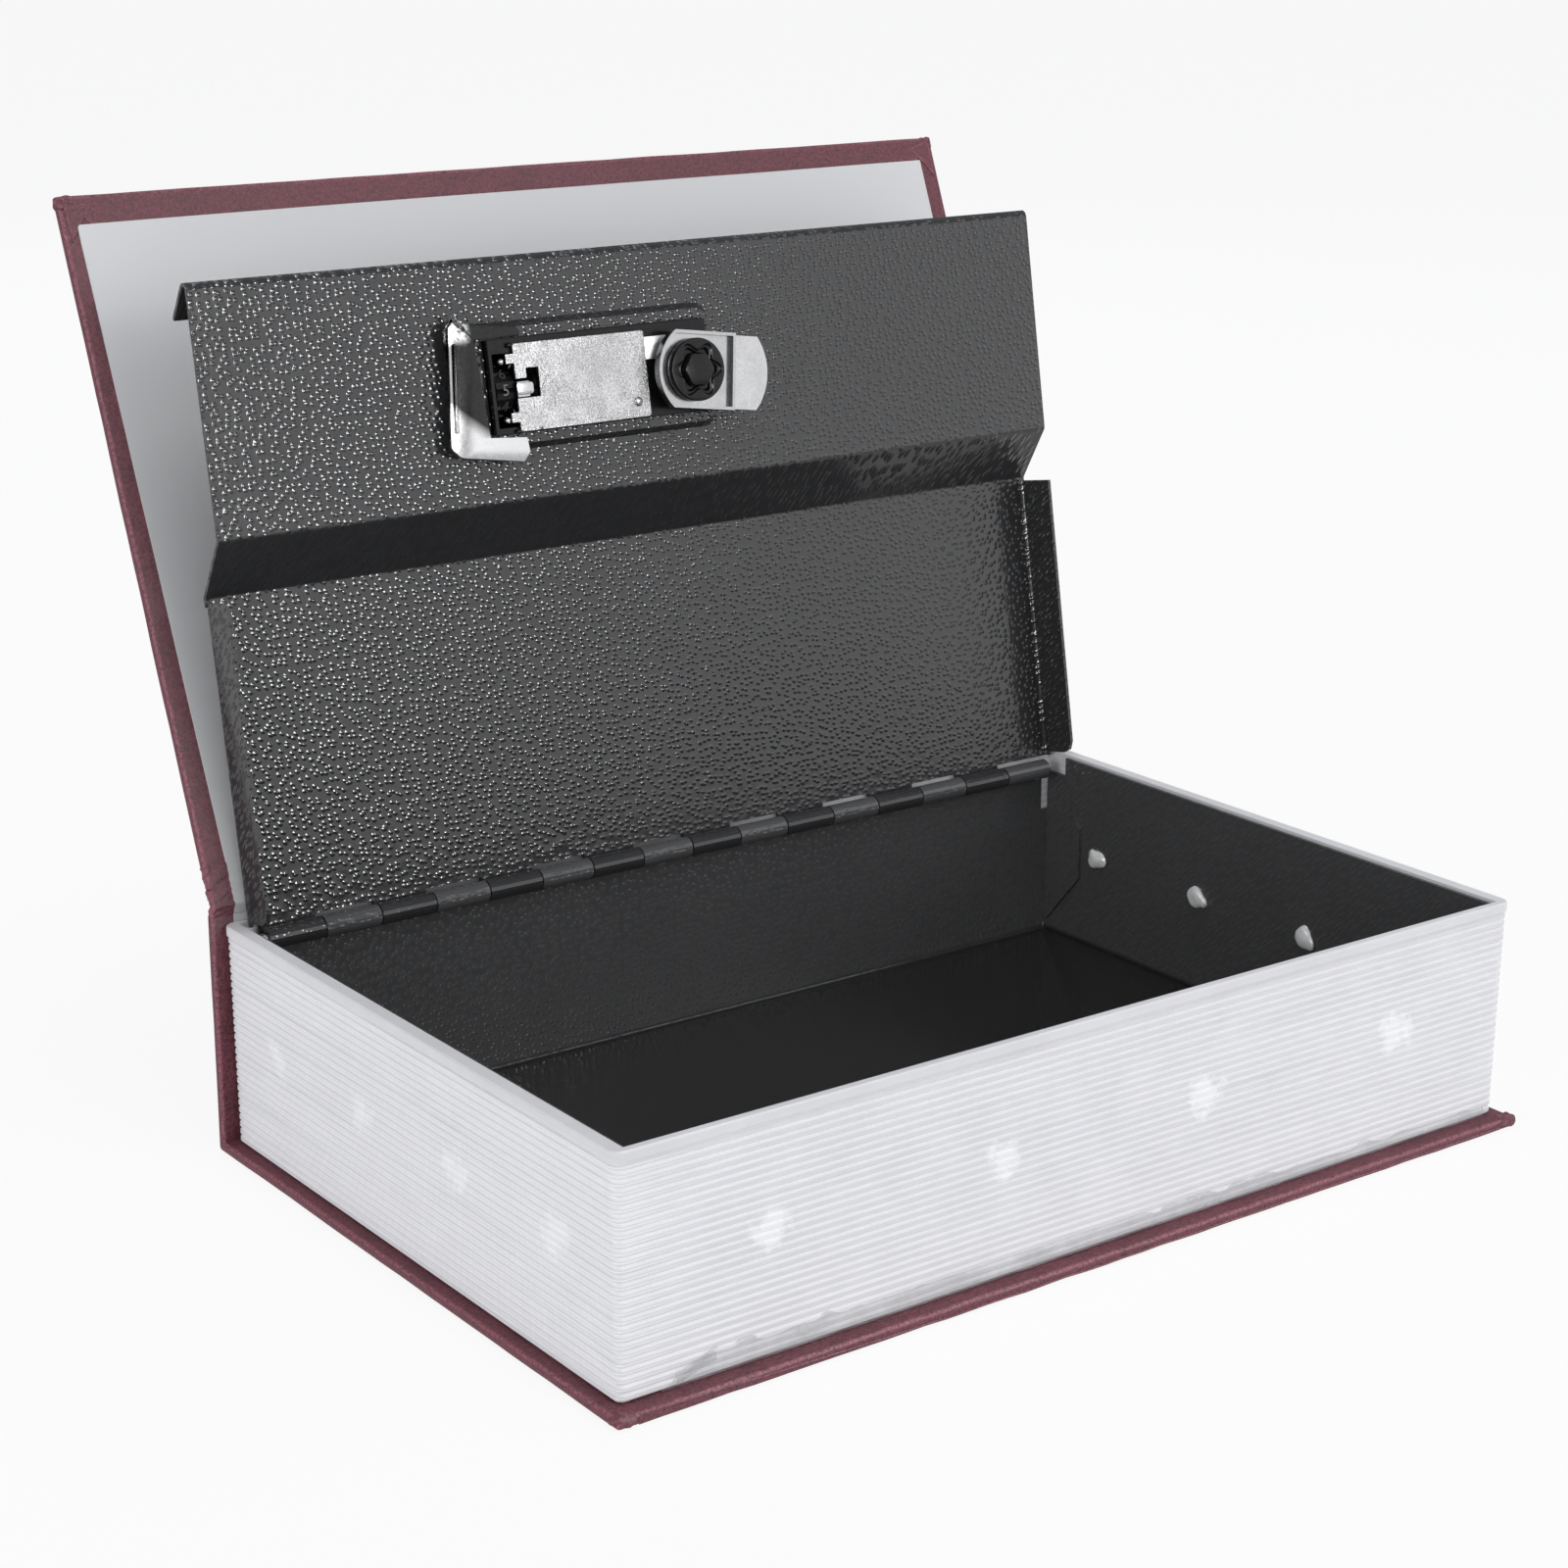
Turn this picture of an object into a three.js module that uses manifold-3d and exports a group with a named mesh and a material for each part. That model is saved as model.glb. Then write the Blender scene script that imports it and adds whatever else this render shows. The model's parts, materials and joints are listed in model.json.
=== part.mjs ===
// A book safe: a hard-cover book case round a ribbed page block that holds a folded steel cash box.
// The box has a stepped steel lid on a rolled piano hinge, and the lid carries a combination cam lock.
// X runs along the book, -Y is the fore edge, +Y is the spine and +Z is up, in millimetres.
// The origin is the centre of the underside of the back board. The lid and the cover stand open.

import * as THREE from 'three';
import { mergeVertices } from 'three/addons/utils/BufferGeometryUtils.js';
import Module from 'manifold-3d';

const wasm = await Module();
wasm.setup();

// Clearances
const seatGap = 0.3;
const boreGap = 0.3;

// Book case
const boardThickness = 2.4;
const clothThickness = 0.4;
const sideOverhang = 2.1;
const foreOverhang = 3.2;
const boardEdgeRound = 0.5;
const turnIn = 14;
const spineTurnIn = 5;
const endpaperThickness = 0.3;
const endpaperMargin = 5.4;
const creaseWidth = 8.5;
const creaseThickness = 0.9;
const creasePivotInset = 1.5;
const coverOpenAngle = 111.9;

// Page block
const blockLength = 232.2;
const blockDepth = 150;
const blockHeight = 49.2;
const blockWall = 1.8;
const blockEndWall = 3.1;
const blockBackWall = 2.1;
const backRimBevel = 0.7;
const backRimBevelHeight = 5;
const blockFloor = 1.2;
const blockCornerRadius = 2.6;
const lipHeight = 2.4;
const lipProud = 0.3;
const ribCount = 28;
const ribDepth = 0.5;
const ribCrest = 0.45;
const blockDraft = 0.5;

// Steel box
const sheet = 0.8;
const bendRadius = 1.2;
const wallTopDrop = 0.6;
const tabWidth = 12.5;
const tabTop = 32;
const tabShoulder = 16.5;
const tabChamfer = 2.5;
const tabToe = 2.2;
const cornerSlotWidth = 2.8;
const reliefHole = 1.4;
const cornerNotchDepth = 6.5;
const cornerNotchDrop = 4.6;

// Glue holes and plugs
const glueHoleRadius = 2.5;
const glueHeight = 25.6;
const endHoleCount = 4;
const endHoleSetback = 20.5;
const endHoleBackSetback = 21.5;
const foreHoleCount = 4;
const foreHoleSetback = 34.9;
const foreHoleFarSetback = 34.1;
const plugHeadRadius = 2.9;
const plugHeadHeight = 0.8;
const plugHeadCrown = 1.2;

// Piano hinge
const knuckleCount = 16;
const knuckleRadius = 2.4;
const knuckleGap = 0.35;
const knuckleRelief = 0.6;
const hingeEndInset = 3.3;
const hingeDrop = 3.6;
const curlSweep = 300;
const pinOverhang = 0.9;

// Lid
const lidSideGap = 0.4;
const lidForeGap = 3;
const hingeHalfLength = 73;
const stepRun = 11.8;
const stepDepth = 9.6;
const flangeDepth = 10.8;
const flangeSetback = 4;
const flangeEndRound = 3;
const returnLength = 11.6;
const returnTurn = 140;
const lidOpenAngle = 99.9;

// Pressed lock seat in the lid
const lockOffset = -16.9;
const lockSetback = 30.6;
const seatLength = 63.6;
const seatWidth = 28;
const seatDepth = 2.2;
const seatSlope = 1.4;
const seatCornerRadius = 3.5;
const windowLength = 57.4;
const windowWidth = 20.8;
const windowShift = -0.9;

// Lock body
const bodyRise = 6.2;
const bodyFrontMargin = 0.6;
const bodyFrontRound = 1.2;
const bodyCorner = 2;
const bossMargin = 2;
const bodyDrop = 4.7;
const bodyBossDrop = 5.3;
const pocketWidth = 16;
const pocketFaceWall = 1.3;
const pocketEndWall = 0.8;
const pocketLength = 35.5;

// Dials, code sleeves and code change shaft
const dialCount = 3;
const dialRadius = 6;
const dialWidth = 4.6;
const dialPitch = 9.6;
const firstDialGap = 0.45;
const dialProud = 1.2;
const dialNotchCount = 10;
const dialNotchDepth = 0.5;
const sleeveRadius = 2.5;
const sleeveDiscRadius = 3.2;
const sleeveDiscWidth = 0.7;
const sleeveNotchWidth = 1.8;
const dialFacetShare = 0.36;
const shaftRadius = 1.3;
const shaftSeat = 1.7;
const shaftFarEnd = 2;
const collarWidth = 0.6;
const collarRadius = 2.4;
const springWire = 0.25;
const springRadius = 1.95;
const springLength = 5.6;
const springTurns = 6;
const leverThickness = 0.8;
const leverWidth = 3.3;
const leverSetback = 6.9;
const leverTabReach = 3;
const leverTabOverhang = 0.7;
const leverTabThickness = 0.7;

// Lock back plate and retaining clip
const plateLength = 33.8;
const plateWidth = 18.8;
const plateSheet = 0.6;
const plateShift = 0.4;
const plateCorner = 0.6;
const plateSetback = 5.7;
const slotReach = 5.9;
const slotWidth = 4.3;
const slotRise = 6.4;
const slotLeg = 3.2;
const lugLength = 2;
const lugWidth = 2;
const lugSpread = 12.6;
const plateLipStart = 5;
const plateLipLength = 21;
const plateLipDepth = 0.9;
const dimpleRadius = 1.1;
const dimpleEndSetback = 3.1;
const dimpleSideSetback = 3.4;
const clipSheet = 1;
const clipBar = 6.3;
const clipArm = 5.2;
const clipCorner = 2.2;
const clipTipRound = 1.4;
const clipReach = 12;
const clipBentReach = 10.5;
const clipBend = 1.7;
const clipMouth = 22.6;
const clipLip = 2.2;
const clipTilt = -9.5;
const clipShift = -5.4;

// Latch
const spindleSetback = 6.6;
const spindleRadius = 3.6;
const spindleNeck = 3;
const latchRestAngle = 8;
const knobDiscRadius = 7.2;
const knobDiscThickness = 1.2;
const knobGripLength = 13.2;
const knobGripWidth = 5;
const knobGripRise = 2.8;
const knobGripRound = 2.3;
const tongueThickness = 1.4;
const tongueWidth = 16.5;
const tongueReach = 21;
const tongueEndBulge = 3;
const cupHalfWidth = 8.6;
const cupEndRadius = 11;
const cupEndReach = 9.8;
const cupReach = 10.6;
const cupSheet = 0.7;
const cupRim = 1.3;
const nutRadius = 7.3;
const nutThickness = 3;
const nutRecess = 1.6;
const nutStarRadius = 6.2;
const nutStarLobes = 6;
const nutStarDepth = 1.7;
const nutCap = 0.6;

// Strike bracket
const strikeSheet = 1.2;
const strikeLength = 26;
const strikeLeg = 15;
const strikeReach = 18.2;

// Levels and places worked out from the sizes above
const backBoardTop = boardThickness;
const blockBottom = backBoardTop + seatGap;
const blockTop = blockBottom + blockHeight;
const spineDepth = seatGap + boardThickness;
const foreFaceY = -(blockDepth + spineDepth - foreOverhang) / 2;
const blockBackY = foreFaceY + blockDepth;
const spineInnerY = blockBackY + seatGap;
const spineOuterY = spineInnerY + boardThickness;
const boardHalfLength = blockLength / 2 + sideOverhang;
const boxWallOuterX = blockLength / 2 - blockEndWall - seatGap;
const boxWallInnerX = boxWallOuterX - sheet;
const boxForeOuterY = foreFaceY + blockWall + seatGap;
const boxForeInnerY = boxForeOuterY + sheet;
const boxBackOuterY = blockBackY - blockBackWall - seatGap;
const boxBackInnerY = boxBackOuterY - sheet;
const boxFloorBottom = blockBottom + blockFloor + seatGap;
const boxFloorTop = boxFloorBottom + sheet;
const boxWallTop = blockTop - wallTopDrop;
const glueZ = blockBottom + glueHeight;
const endHolePitch = (blockDepth - endHoleSetback - endHoleBackSetback) / (endHoleCount - 1);
const foreHolePitch = (blockLength - foreHoleSetback - foreHoleFarSetback) / (foreHoleCount - 1);
const hingeY = boxBackOuterY - knuckleRadius;
const hingeZ = blockTop - hingeDrop;
const hingeHalfSpan = boxWallInnerX - hingeEndInset;
const knucklePitch = 2 * hingeHalfSpan / knuckleCount;
const knuckleWidth = knucklePitch - knuckleGap;
const knuckleBore = knuckleRadius - sheet;
const pinRadius = knuckleBore - boreGap;
const sheetStart = knuckleRadius + knuckleRelief;
const lidHalfLength = boxWallInnerX - lidSideGap;
const lidReach = hingeY - boxForeInnerY - lidForeGap;
const lockReach = lidReach - lockSetback;
const lockHalfLevel = knuckleRadius - stepDepth;
const seatInnerLevel = -seatDepth - sheet;
const bodyHalfLength = windowLength / 2 - seatGap;
const bodyHalfWidth = windowWidth / 2 - seatGap;
const frontHalfLength = windowLength / 2 + bodyFrontMargin;
const frontHalfWidth = windowWidth / 2 + bodyFrontMargin;
const pocketStartX = -bodyHalfLength + pocketEndWall;
const pocketEndX = pocketStartX + pocketLength;
const dialLevel = bodyRise + dialProud - dialRadius;
const firstDialX = pocketStartX + dialWidth / 2 + firstDialGap;
const plateLevel = -bodyDrop - seatGap;
const plateStartX = -bodyHalfLength + plateSetback;
const spindleX = bodyHalfLength - spindleSetback;
const tongueLevel = -bodyBossDrop - seatGap;
const cupLevel = tongueLevel - tongueThickness - seatGap;
const nutLevel = cupLevel - cupSheet - seatGap;
const nutTip = nutLevel - nutThickness;
const spindleTip = nutTip + nutCap + boreGap;
const neckBore = spindleNeck + boreGap;
const coverPivotY = spineOuterY - creasePivotInset;
const coverOuterLevel = creaseThickness / 2;
const coverUnderside = blockTop + seatGap + endpaperThickness + seatGap;
const coverPivotZ = coverUnderside + boardThickness - coverOuterLevel;
const spineTop = coverPivotZ - coverOuterLevel - seatGap;
const coverReach = coverPivotY - foreFaceY + foreOverhang;
const coverStart = creaseWidth + seatGap;

// Corners of solids are rounded to this step, so faces that should be flush are flush.
const placeStep = 0.0002;

// Closed outlines, solids and boolean work

function toSolid(geometry) {
  const bare = geometry.index ? geometry.toNonIndexed() : geometry.clone();
  bare.deleteAttribute('normal');
  bare.deleteAttribute('uv');
  const places = bare.attributes.position.array;
  for (let i = 0; i < places.length; i += 1) places[i] = Math.round(places[i] / placeStep) * placeStep;
  const merged = mergeVertices(bare, placeStep / 2);
  const triangles = [];
  const index = merged.index.array;
  for (let i = 0; i < index.length; i += 3) {
    const [a, b, c] = [index[i], index[i + 1], index[i + 2]];
    if (a !== b && b !== c && c !== a) triangles.push(a, b, c);
  }
  return new wasm.Manifold(new wasm.Mesh({
    numProp: 3,
    vertProperties: new Float32Array(merged.attributes.position.array),
    triVerts: new Uint32Array(triangles),
  }));
}

function toGeometry(solid) {
  const mesh = solid.getMesh();
  const geometry = new THREE.BufferGeometry();
  geometry.setAttribute('position', new THREE.BufferAttribute(mesh.vertProperties, 3));
  geometry.setIndex(new THREE.BufferAttribute(mesh.triVerts, 1));
  return geometry;
}

function combine(operation, first, others) {
  let solid = toSolid(first);
  for (const other of others) solid = solid[operation](toSolid(other));
  return toGeometry(solid);
}

const join = (first, ...others) => combine('add', first, others);
const cut = (first, ...others) => combine('subtract', first, others);

// Pushes a flat outline along an axis. The outline is drawn in (x, y) for z, (y, z) for x and (x, z) for y.
function extrude(outline, axis, from, to, curveSegments = 5) {
  const geometry = new THREE.ExtrudeGeometry(outline, {
    depth: to - from, bevelEnabled: false, curveSegments,
  });
  const frames = {
    x: [new THREE.Vector3(0, 1, 0), new THREE.Vector3(0, 0, 1), new THREE.Vector3(1, 0, 0), from],
    y: [new THREE.Vector3(1, 0, 0), new THREE.Vector3(0, 0, 1), new THREE.Vector3(0, -1, 0), -to],
    z: [new THREE.Vector3(1, 0, 0), new THREE.Vector3(0, 1, 0), new THREE.Vector3(0, 0, 1), from],
  };
  const [across, up, along, start] = frames[axis];
  const matrix = new THREE.Matrix4().makeBasis(across, up, along);
  matrix.setPosition(along.clone().multiplyScalar(start));
  geometry.applyMatrix4(matrix);
  return geometry;
}

function block(x0, x1, y0, y1, z0, z1) {
  const geometry = new THREE.BoxGeometry(x1 - x0, y1 - y0, z1 - z0);
  geometry.translate((x0 + x1) / 2, (y0 + y1) / 2, (z0 + z1) / 2);
  return geometry;
}

function disc(axis, radius, from, to, across, up, segments = 24) {
  const outline = new THREE.Shape();
  outline.absarc(across, up, radius, 0, 2 * Math.PI, false);
  return extrude(outline, axis, from, to, segments / 2);
}

function polygon(points) {
  return new THREE.Shape(points.map(([x, y]) => new THREE.Vector2(x, y)));
}

function roundedRectangle(x0, x1, y0, y1, radius) {
  const outline = new THREE.Shape();
  outline.absarc(x1 - radius, y0 + radius, radius, -Math.PI / 2, 0, false);
  outline.absarc(x1 - radius, y1 - radius, radius, 0, Math.PI / 2, false);
  outline.absarc(x0 + radius, y1 - radius, radius, Math.PI / 2, Math.PI, false);
  outline.absarc(x0 + radius, y0 + radius, radius, Math.PI, 1.5 * Math.PI, false);
  return outline;
}

function ring(halfX, halfY, radius, z, steps = 4) {
  const points = roundedRectangle(-halfX, halfX, -halfY, halfY, radius).getPoints(steps / 2);
  const last = points[points.length - 1];
  if (last.distanceTo(points[0]) < 1e-6) points.pop();
  return points.map((point) => new THREE.Vector3(point.x, point.y, z));
}

// Skins a stack of rings that all have the same number of points and turn anticlockwise.
function loft(rings) {
  const count = rings[0].length;
  const positions = rings.flat().flatMap((point) => [point.x, point.y, point.z]);
  const index = [];
  for (let level = 0; level < rings.length - 1; level += 1) {
    for (let i = 0; i < count; i += 1) {
      const a = level * count + i;
      const b = level * count + (i + 1) % count;
      index.push(a, b, b + count, a, b + count, a + count);
    }
  }
  const caps = THREE.ShapeUtils.triangulateShape(rings[0].map((p) => new THREE.Vector2(p.x, p.y)), []);
  const top = (rings.length - 1) * count;
  for (const [a, b, c] of caps) index.push(c, b, a, top + a, top + b, top + c);
  const geometry = new THREE.BufferGeometry();
  geometry.setAttribute('position', new THREE.Float32BufferAttribute(positions, 3));
  geometry.setIndex(index);
  return geometry;
}

// The two faces of a folded sheet that follows a line of corners, each bent to a radius.
function foldedFaces(corners, thickness, radius, steps = 4) {
  const line = [corners[0].clone()];
  for (let i = 1; i < corners.length - 1; i += 1) {
    const before = corners[i].clone().sub(corners[i - 1]).normalize();
    const after = corners[i + 1].clone().sub(corners[i]).normalize();
    const turn = Math.atan2(before.cross(after), before.dot(after));
    const setback = radius * Math.tan(Math.abs(turn) / 2);
    const start = corners[i].clone().addScaledVector(before, -setback);
    const side = new THREE.Vector2(-before.y, before.x).multiplyScalar(Math.sign(turn) * radius);
    const centre = start.clone().add(side);
    for (let step = 0; step <= steps; step += 1) {
      const arm = start.clone().sub(centre).rotateAround(new THREE.Vector2(), turn * step / steps);
      line.push(centre.clone().add(arm));
    }
  }
  line.push(corners[corners.length - 1].clone());
  const left = [];
  const right = [];
  line.forEach((point, i) => {
    const ahead = line[Math.min(i + 1, line.length - 1)];
    const behind = line[Math.max(i - 1, 0)];
    const along = ahead.clone().sub(behind).normalize();
    const across = new THREE.Vector2(-along.y, along.x).multiplyScalar(thickness / 2);
    left.push(point.clone().add(across));
    right.push(point.clone().sub(across));
  });
  return { left, right };
}

function foldedSheet(corners, thickness, radius) {
  const { left, right } = foldedFaces(corners, thickness, radius);
  return new THREE.Shape([...left, ...right.reverse()]);
}

function radians(degrees) {
  return THREE.MathUtils.degToRad(degrees);
}

function piece(group, name, geometry, colour, roughness, metalness) {
  const material = new THREE.MeshStandardMaterial({ color: colour, roughness, metalness });
  const mesh = new THREE.Mesh(geometry, material);
  mesh.name = name;
  group.add(mesh);
  return mesh;
}

// Book case

// A cloth wrapping: a shell round a board, with an open window inside the turned-in margins.
function wrapping(halfLength, from, to, margin, windowFrom, windowTo) {
  const middle = (from + to) / 2;
  const halfDepth = (to - from) / 2;
  const corner = boardEdgeRound;
  const outer = loft([
    ring(halfLength - corner, halfDepth - corner, corner, 0, 2),
    ring(halfLength, halfDepth, corner, corner, 2),
    ring(halfLength, halfDepth, corner, boardThickness - corner, 2),
    ring(halfLength - corner, halfDepth - corner, corner, boardThickness, 2),
  ]);
  outer.translate(0, middle, 0);
  const pocket = block(
    -halfLength + clothThickness, halfLength - clothThickness,
    from + clothThickness, to - clothThickness,
    clothThickness, boardThickness - clothThickness,
  );
  const window = block(
    -halfLength + margin, halfLength - margin,
    windowFrom, windowTo,
    boardThickness / 2, boardThickness + clothThickness,
  );
  return cut(outer, pocket, window);
}

// The greyboard that fills a wrapping, with its seat gap all round.
function board(halfLength, from, to) {
  const inset = clothThickness + seatGap;
  const half = halfLength - inset;
  return block(-half, half, from + inset, to - inset, inset, boardThickness - inset);
}

// Stands a flat board up behind the page block, with its inside towards the fore edge.
function standAsSpine(geometry) {
  geometry.rotateX(Math.PI / 2);
  geometry.translate(0, spineOuterY, 0);
  return geometry;
}

function addCase(group) {
  const foreEdge = foreFaceY - foreOverhang;
  const backWrap = wrapping(
    boardHalfLength, foreEdge, blockBackY, turnIn, foreEdge + turnIn, blockBackY - turnIn,
  );
  const spineWrap = standAsSpine(
    wrapping(boardHalfLength, 0, spineTop, turnIn, spineTurnIn, spineTop - spineTurnIn),
  );
  const backCrease = block(
    -boardHalfLength + boardEdgeRound, boardHalfLength - boardEdgeRound,
    blockBackY - boardThickness, spineOuterY - boardEdgeRound,
    0, clothThickness,
  );
  const spineRoot = block(
    -boardHalfLength + boardEdgeRound, boardHalfLength - boardEdgeRound,
    spineOuterY - boardThickness + boardEdgeRound, spineOuterY - boardEdgeRound,
    0, clothThickness,
  );
  const cloth = join(backWrap, spineWrap, backCrease, spineRoot);
  piece(group, 'case_cloth', cloth, 0x5f3c46, 0.85, 0);
  piece(group, 'back_board', board(boardHalfLength, foreEdge, blockBackY), 0x8f877c, 0.95, 0);
  const spineBoard = standAsSpine(board(boardHalfLength, 0, spineTop));
  piece(group, 'spine_board', spineBoard, 0x8f877c, 0.95, 0);
}

// The cover is drawn closed, with its pivot line at the origin.
function addCover(group) {
  const bead = new THREE.Shape();
  bead.absarc(0, 0, coverOuterLevel, -Math.PI / 2, Math.PI / 2, false);
  bead.lineTo(-creaseWidth, coverOuterLevel);
  bead.lineTo(-creaseWidth, -coverOuterLevel);
  const crease = extrude(
    bead, 'x', -boardHalfLength + boardEdgeRound, boardHalfLength - boardEdgeRound,
  );
  piece(group, 'crease_cloth', crease, 0x5f3c46, 0.85, 0);
  const turnedOver = (geometry) => {
    geometry.rotateY(Math.PI);
    geometry.translate(0, 0, coverOuterLevel);
    return geometry;
  };
  const wrap = turnedOver(wrapping(
    boardHalfLength, -coverReach, -coverStart, turnIn, -coverReach + turnIn, -coverStart - spineTurnIn,
  ));
  piece(group, 'cover_cloth', wrap, 0x5f3c46, 0.85, 0);
  const frontBoard = turnedOver(board(boardHalfLength, -coverReach, -coverStart));
  piece(group, 'front_board', frontBoard, 0x8f877c, 0.95, 0);
  const paperTop = coverOuterLevel - boardThickness - seatGap;
  const endpaper = block(
    -boardHalfLength + endpaperMargin, boardHalfLength - endpaperMargin,
    -coverReach + endpaperMargin, -coverStart - seatGap,
    paperTop - endpaperThickness, paperTop,
  );
  piece(group, 'front_endpaper', endpaper, 0xc9cacc, 0.25, 0);
}

// Page block: a moulded tray whose outside is ribbed like the edges of pages

function addPageBlock(group) {
  const halfLength = blockLength / 2;
  const halfDepth = blockDepth / 2;
  const rings = [];
  const addRing = (inset, z) => {
    const radius = blockCornerRadius - inset;
    rings.push(ring(halfLength - inset, halfDepth - inset, radius, z));
  };
  const ribZone = blockHeight - lipHeight;
  const ribPitch = ribZone / ribCount;
  for (let rib = 0; rib < ribCount; rib += 1) {
    const foot = rib * ribPitch;
    const lean = lipProud + blockDraft * (1 - foot / ribZone);
    addRing(lean + ribDepth, foot);
    addRing(lean, foot + ribPitch * (1 - ribCrest) / 2);
    addRing(lean, foot + ribPitch * (1 + ribCrest) / 2);
  }
  addRing(lipProud + ribDepth, ribZone);
  addRing(0, ribZone + lipProud);
  addRing(0, blockHeight - lipProud);
  addRing(lipProud, blockHeight);
  const outside = loft(rings);
  outside.translate(0, foreFaceY + halfDepth, blockBottom);
  const cavity = block(
    -halfLength + blockEndWall, halfLength - blockEndWall,
    foreFaceY + blockWall, blockBackY - blockBackWall,
    blockBottom + blockFloor, blockTop + 1,
  );
  const rimInnerY = blockBackY - blockBackWall;
  const bevel = extrude(polygon([
    [rimInnerY - 1, blockTop - backRimBevelHeight],
    [rimInnerY, blockTop - backRimBevelHeight],
    [rimInnerY + backRimBevel, blockTop],
    [rimInnerY + backRimBevel, blockTop + 1],
    [rimInnerY - 1, blockTop + 1],
  ]), 'x', -halfLength + blockEndWall, halfLength - blockEndWall);
  piece(group, 'page_block', cut(outside, cavity, bevel), 0xdcdde0, 0.4, 0);
}

// Rolled hinge knuckles

// Section of a knuckle: a straight lead of sheet that rolls back on itself round the pin.
// The lead leaves along -up from the +across side; swapping the axes gives the lid's knuckle.
function knuckleSection(lead, swapped) {
  const points = [[knuckleRadius, -lead]];
  const steps = 15;
  for (let i = 0; i <= steps; i += 1) {
    const angle = radians(curlSweep * i / steps);
    points.push([knuckleRadius * Math.cos(angle), knuckleRadius * Math.sin(angle)]);
  }
  for (let i = steps; i >= 0; i -= 1) {
    const angle = radians(curlSweep * i / steps);
    points.push([knuckleBore * Math.cos(angle), knuckleBore * Math.sin(angle)]);
  }
  points.push([knuckleBore, -lead]);
  return polygon(swapped ? points.map(([across, up]) => [up, across]) : points);
}

// Every second knuckle belongs to the same leaf: the lid has the even ones, the box the odd ones.
function knuckles(first, lead, swapped, y, z) {
  const rolled = [];
  for (let k = first; k < knuckleCount; k += 2) {
    const start = -hingeHalfSpan + k * knucklePitch + knuckleGap / 2;
    const knuckle = extrude(knuckleSection(lead, swapped), 'x', start, start + knuckleWidth);
    knuckle.translate(0, y, z);
    rolled.push(knuckle);
  }
  return rolled;
}

function addHingePin(group) {
  const reach = hingeHalfSpan + pinOverhang;
  const pin = disc('x', pinRadius, -reach, reach, hingeY, hingeZ, 12);
  piece(group, 'hinge_pin', pin, 0x9a9a9a, 0.35, 1);
}

// Steel box

function glueHoles() {
  const row = (count, start, pitch) => Array.from({ length: count }, (_, i) => start + i * pitch);
  return {
    ends: row(endHoleCount, foreFaceY + endHoleSetback, endHolePitch),
    fores: row(foreHoleCount, -blockLength / 2 + foreHoleSetback, foreHolePitch),
  };
}

// Floor, front wall and back wall are one fold; the end walls rise from the floor's ends.
function boxShell() {
  const middle = sheet / 2;
  const backTop = hingeZ - sheetStart;
  const channel = foldedFaces([
    new THREE.Vector2(boxForeOuterY + middle, boxWallTop),
    new THREE.Vector2(boxForeOuterY + middle, boxFloorBottom + middle),
    new THREE.Vector2(boxBackOuterY - middle, boxFloorBottom + middle),
    new THREE.Vector2(boxBackOuterY - middle, backTop),
  ], sheet, bendRadius);
  const section = new THREE.Shape([...channel.left, ...channel.right.slice().reverse()]);
  const shell = extrude(section, 'x', -boxWallOuterX, boxWallOuterX);
  const endOutline = new THREE.Shape([...channel.right, new THREE.Vector2(boxBackOuterY, boxWallTop)]);
  const tabFoot = boxBackInnerY;
  const tabOutline = polygon([
    [tabFoot, boxFloorTop + tabToe],
    [tabFoot, boxFloorTop + tabTop],
    [tabFoot - tabWidth + tabChamfer, boxFloorTop + tabTop],
    [tabFoot - tabWidth, boxFloorTop + tabTop - tabChamfer],
    [tabFoot - tabWidth, boxFloorTop + tabShoulder],
  ]);
  const parts = [];
  const cuts = [];
  for (const side of [-1, 1]) {
    const outer = side * boxWallOuterX;
    const inner = side * boxWallInnerX;
    const tabFace = side * (boxWallInnerX - sheet);
    parts.push(extrude(endOutline, 'x', Math.min(outer, inner), Math.max(outer, inner)));
    parts.push(extrude(tabOutline, 'x', Math.min(tabFace, inner), Math.max(tabFace, inner)));
    const slotFrom = side * (boxWallInnerX - cornerSlotWidth);
    cuts.push(block(
      Math.min(slotFrom, inner), Math.max(slotFrom, inner),
      boxBackInnerY - middle, boxBackOuterY + middle,
      boxFloorTop + tabTop, boxWallTop + 1,
    ));
    cuts.push(block(
      Math.min(inner, outer) - middle, Math.max(inner, outer) + middle,
      boxBackOuterY - cornerNotchDepth, boxBackOuterY + middle,
      boxWallTop - cornerNotchDrop, boxWallTop + 1,
    ));
    const holeFrom = side * (boxWallInnerX - reliefHole);
    cuts.push(block(
      Math.min(holeFrom, inner), Math.max(holeFrom, inner),
      boxBackInnerY - middle, boxBackOuterY + middle,
      boxFloorTop + middle, boxFloorTop + middle + reliefHole,
    ));
  }
  return cut(join(shell, ...parts), ...cuts);
}

function addSteelBox(group) {
  const { ends, fores } = glueHoles();
  const cuts = [];
  for (const y of ends) {
    cuts.push(disc('x', glueHoleRadius, -boxWallOuterX - 1, -boxWallInnerX + 1, y, glueZ, 12));
    cuts.push(disc('x', glueHoleRadius, boxWallInnerX - 1, boxWallOuterX + 1, y, glueZ, 12));
  }
  for (const x of fores) {
    cuts.push(disc('y', glueHoleRadius, boxForeOuterY - 1, boxForeInnerY + 1, x, glueZ, 12));
  }
  const rolled = knuckles(1, sheetStart + 1, false, hingeY, hingeZ);
  const box = cut(join(boxShell(), ...rolled), ...cuts);
  piece(group, 'steel_box', box, 0x3a3a3c, 0.5, 0.3);
}

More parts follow.
